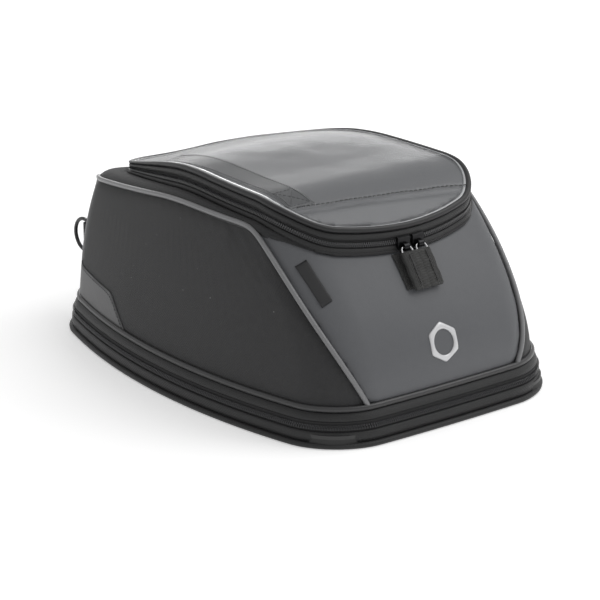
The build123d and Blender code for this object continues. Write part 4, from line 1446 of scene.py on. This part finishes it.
class TANKBAG_OT_hardware(bpy.types.Operator):
    """Finish the moulded and metal parts of the frame"""

    bl_idname = "tank_bag.hardware"
    bl_label = "Hardware"

    finish_of = {
        "base_pad": "pad_rubber",
        "base_board": "board_plastic",
        "tank_ring_socket": "moulded_plastic",
        "backing_plate": "screw_steel",
        "socket_screws": "screw_steel",
        "socket_nuts": "screw_steel",
        "socket_latch": "moulded_plastic",
        "zip_slider_right": "black_metal",
        "zip_slider_left": "black_metal",
        "expansion_slider": "black_metal",
        "expansion_pull": "black_metal",
        "d_ring_right": "moulded_plastic",
        "d_ring_left": "moulded_plastic",
    }

    small = ("slider", "pull", "d_ring")

    def execute(self, context):
        width = context.scene.tank_bag_base.edge_round
        for name, finish in self.finish_of.items():
            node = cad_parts[name]
            node.data.materials.clear()
            node.data.materials.append(finishes[finish])
            soft = node.modifiers.new("Edges", "BEVEL")
            soft.width = width * (0.35 if any(word in name for word in self.small) else 0.6)
            soft.segments = 2
            soft.limit_method = "ANGLE"
            soft.harden_normals = False
        return {"FINISHED"}


class TANKBAG_OT_stage(bpy.types.Operator):
    """Build the floor, lamps, world and camera"""

    bl_idname = "tank_bag.stage"
    bl_label = "Stage"

    def execute(self, context):
        settings = context.scene.tank_bag_stage
        scene = context.scene
        made = bmesh.new()
        reach, floor_z = 9.0, -0.0002
        signs = ((-1, -1), (1, -1), (1, 1), (-1, 1))
        made.faces.new([made.verts.new((reach * x, reach * y, floor_z)) for x, y in signs])
        floor_material = bpy.data.materials.new("tb_floor")
        floor_material.use_nodes = True
        shader = floor_material.node_tree.nodes["Principled BSDF"]
        shader.inputs["Base Color"].default_value = (0.93, 0.93, 0.93, 1)
        shader.inputs["Roughness"].default_value = 0.7
        shader.inputs["Specular IOR Level"].default_value = 0.1
        shader.inputs["Emission Color"].default_value = (1, 1, 1, 1)
        shader.inputs["Emission Strength"].default_value = 0.3
        floor = piece_from(made, "studio_floor", [floor_material])
        floor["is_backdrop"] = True
        world = bpy.data.worlds.new("tb_world")
        world.use_nodes = True
        backdrop = world.node_tree.nodes["Background"]
        backdrop.inputs["Color"].default_value = (1, 1, 1, 1)
        backdrop.inputs["Strength"].default_value = 0.62
        scene.world = world
        scene.view_settings.view_transform = "Standard"
        lamps = (
            ("far_lamp", (-1.7, 1.15, 0.50), (0, 0, 0.15), 1.1, 0.55, settings.key),
            ("top_lamp", (0.4, 0.95, 1.8), (0, 0, 0.1), 1.4, 1.4, settings.fill),
            ("front_lamp", (1.2, 1.5, 1.5), (0.1, 0, 0.1), 0.9, 0.9, settings.fill * 0.35),
        )
        for name, place_at, aim, width, tall, power in lamps:
            lamp = bpy.data.lights.new(name, "AREA")
            lamp.shape = "RECTANGLE"
            lamp.size, lamp.size_y, lamp.energy = width, tall, power
            holder = bpy.data.objects.new(name, lamp)
            holder.location = place_at
            holder.rotation_euler = (Vector(aim) - Vector(place_at)).to_track_quat("-Z", "Y").to_euler()
            scene.collection.objects.link(holder)
        camera = bpy.data.cameras.new("camera")
        camera.lens, camera.sensor_width = settings.lens, 36.0
        camera.shift_y = -0.075
        camera.clip_start, camera.clip_end = 0.05, 50.0
        holder = bpy.data.objects.new("camera", camera)
        target = Vector((0.0035, 0, 0.090))
        level = math.cos(settings.height)
        way = Vector(
            (math.sin(settings.turn) * level, -math.cos(settings.turn) * level, math.sin(settings.height))
        )
        holder.location = target + way * settings.distance
        holder.rotation_euler = (-way).to_track_quat("-Z", "Y").to_euler()
        scene.collection.objects.link(holder)
        scene.camera = holder
        return {"FINISHED"}


class TANKBAG_PT_panel(bpy.types.Panel):
    """The tank bag's parts and settings"""

    bl_idname = "TANKBAG_PT_panel"
    bl_label = "Tank Bag"
    bl_space_type = "VIEW_3D"
    bl_region_type = "UI"
    bl_category = "Tank Bag"

    def draw(self, context):
        for made in OPERATORS:
            self.layout.operator(made.bl_idname)
        for name, kind in SETTINGS.items():
            box = self.layout.box()
            for key in kind.__annotations__:
                box.prop(getattr(context.scene, name), key)


OPERATORS = (
    TANKBAG_OT_body,
    TANKBAG_OT_lid,
    TANKBAG_OT_base,
    TANKBAG_OT_trims,
    TANKBAG_OT_hardware,
    TANKBAG_OT_stage,
)


def register():
    for kind in (*SETTINGS.values(), *OPERATORS, TANKBAG_PT_panel):
        bpy.utils.register_class(kind)
    for name, kind in SETTINGS.items():
        setattr(bpy.types.Scene, name, PointerProperty(type=kind))


def unregister():
    for name in SETTINGS:
        delattr(bpy.types.Scene, name)
    for kind in reversed((*SETTINGS.values(), *OPERATORS, TANKBAG_PT_panel)):
        bpy.utils.unregister_class(kind)


def main():
    register()
    bpy.ops.tank_bag.body()
    bpy.ops.tank_bag.lid()
    bpy.ops.tank_bag.base()
    bpy.ops.tank_bag.trims()
    bpy.ops.tank_bag.hardware()
    bpy.ops.tank_bag.stage()
    low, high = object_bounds()
    sizes = {"cad": [list(LOADED_BOX[0]), list(LOADED_BOX[1])], "visual": [list(low), list(high)]}


if __name__ == "__main__":
    main()
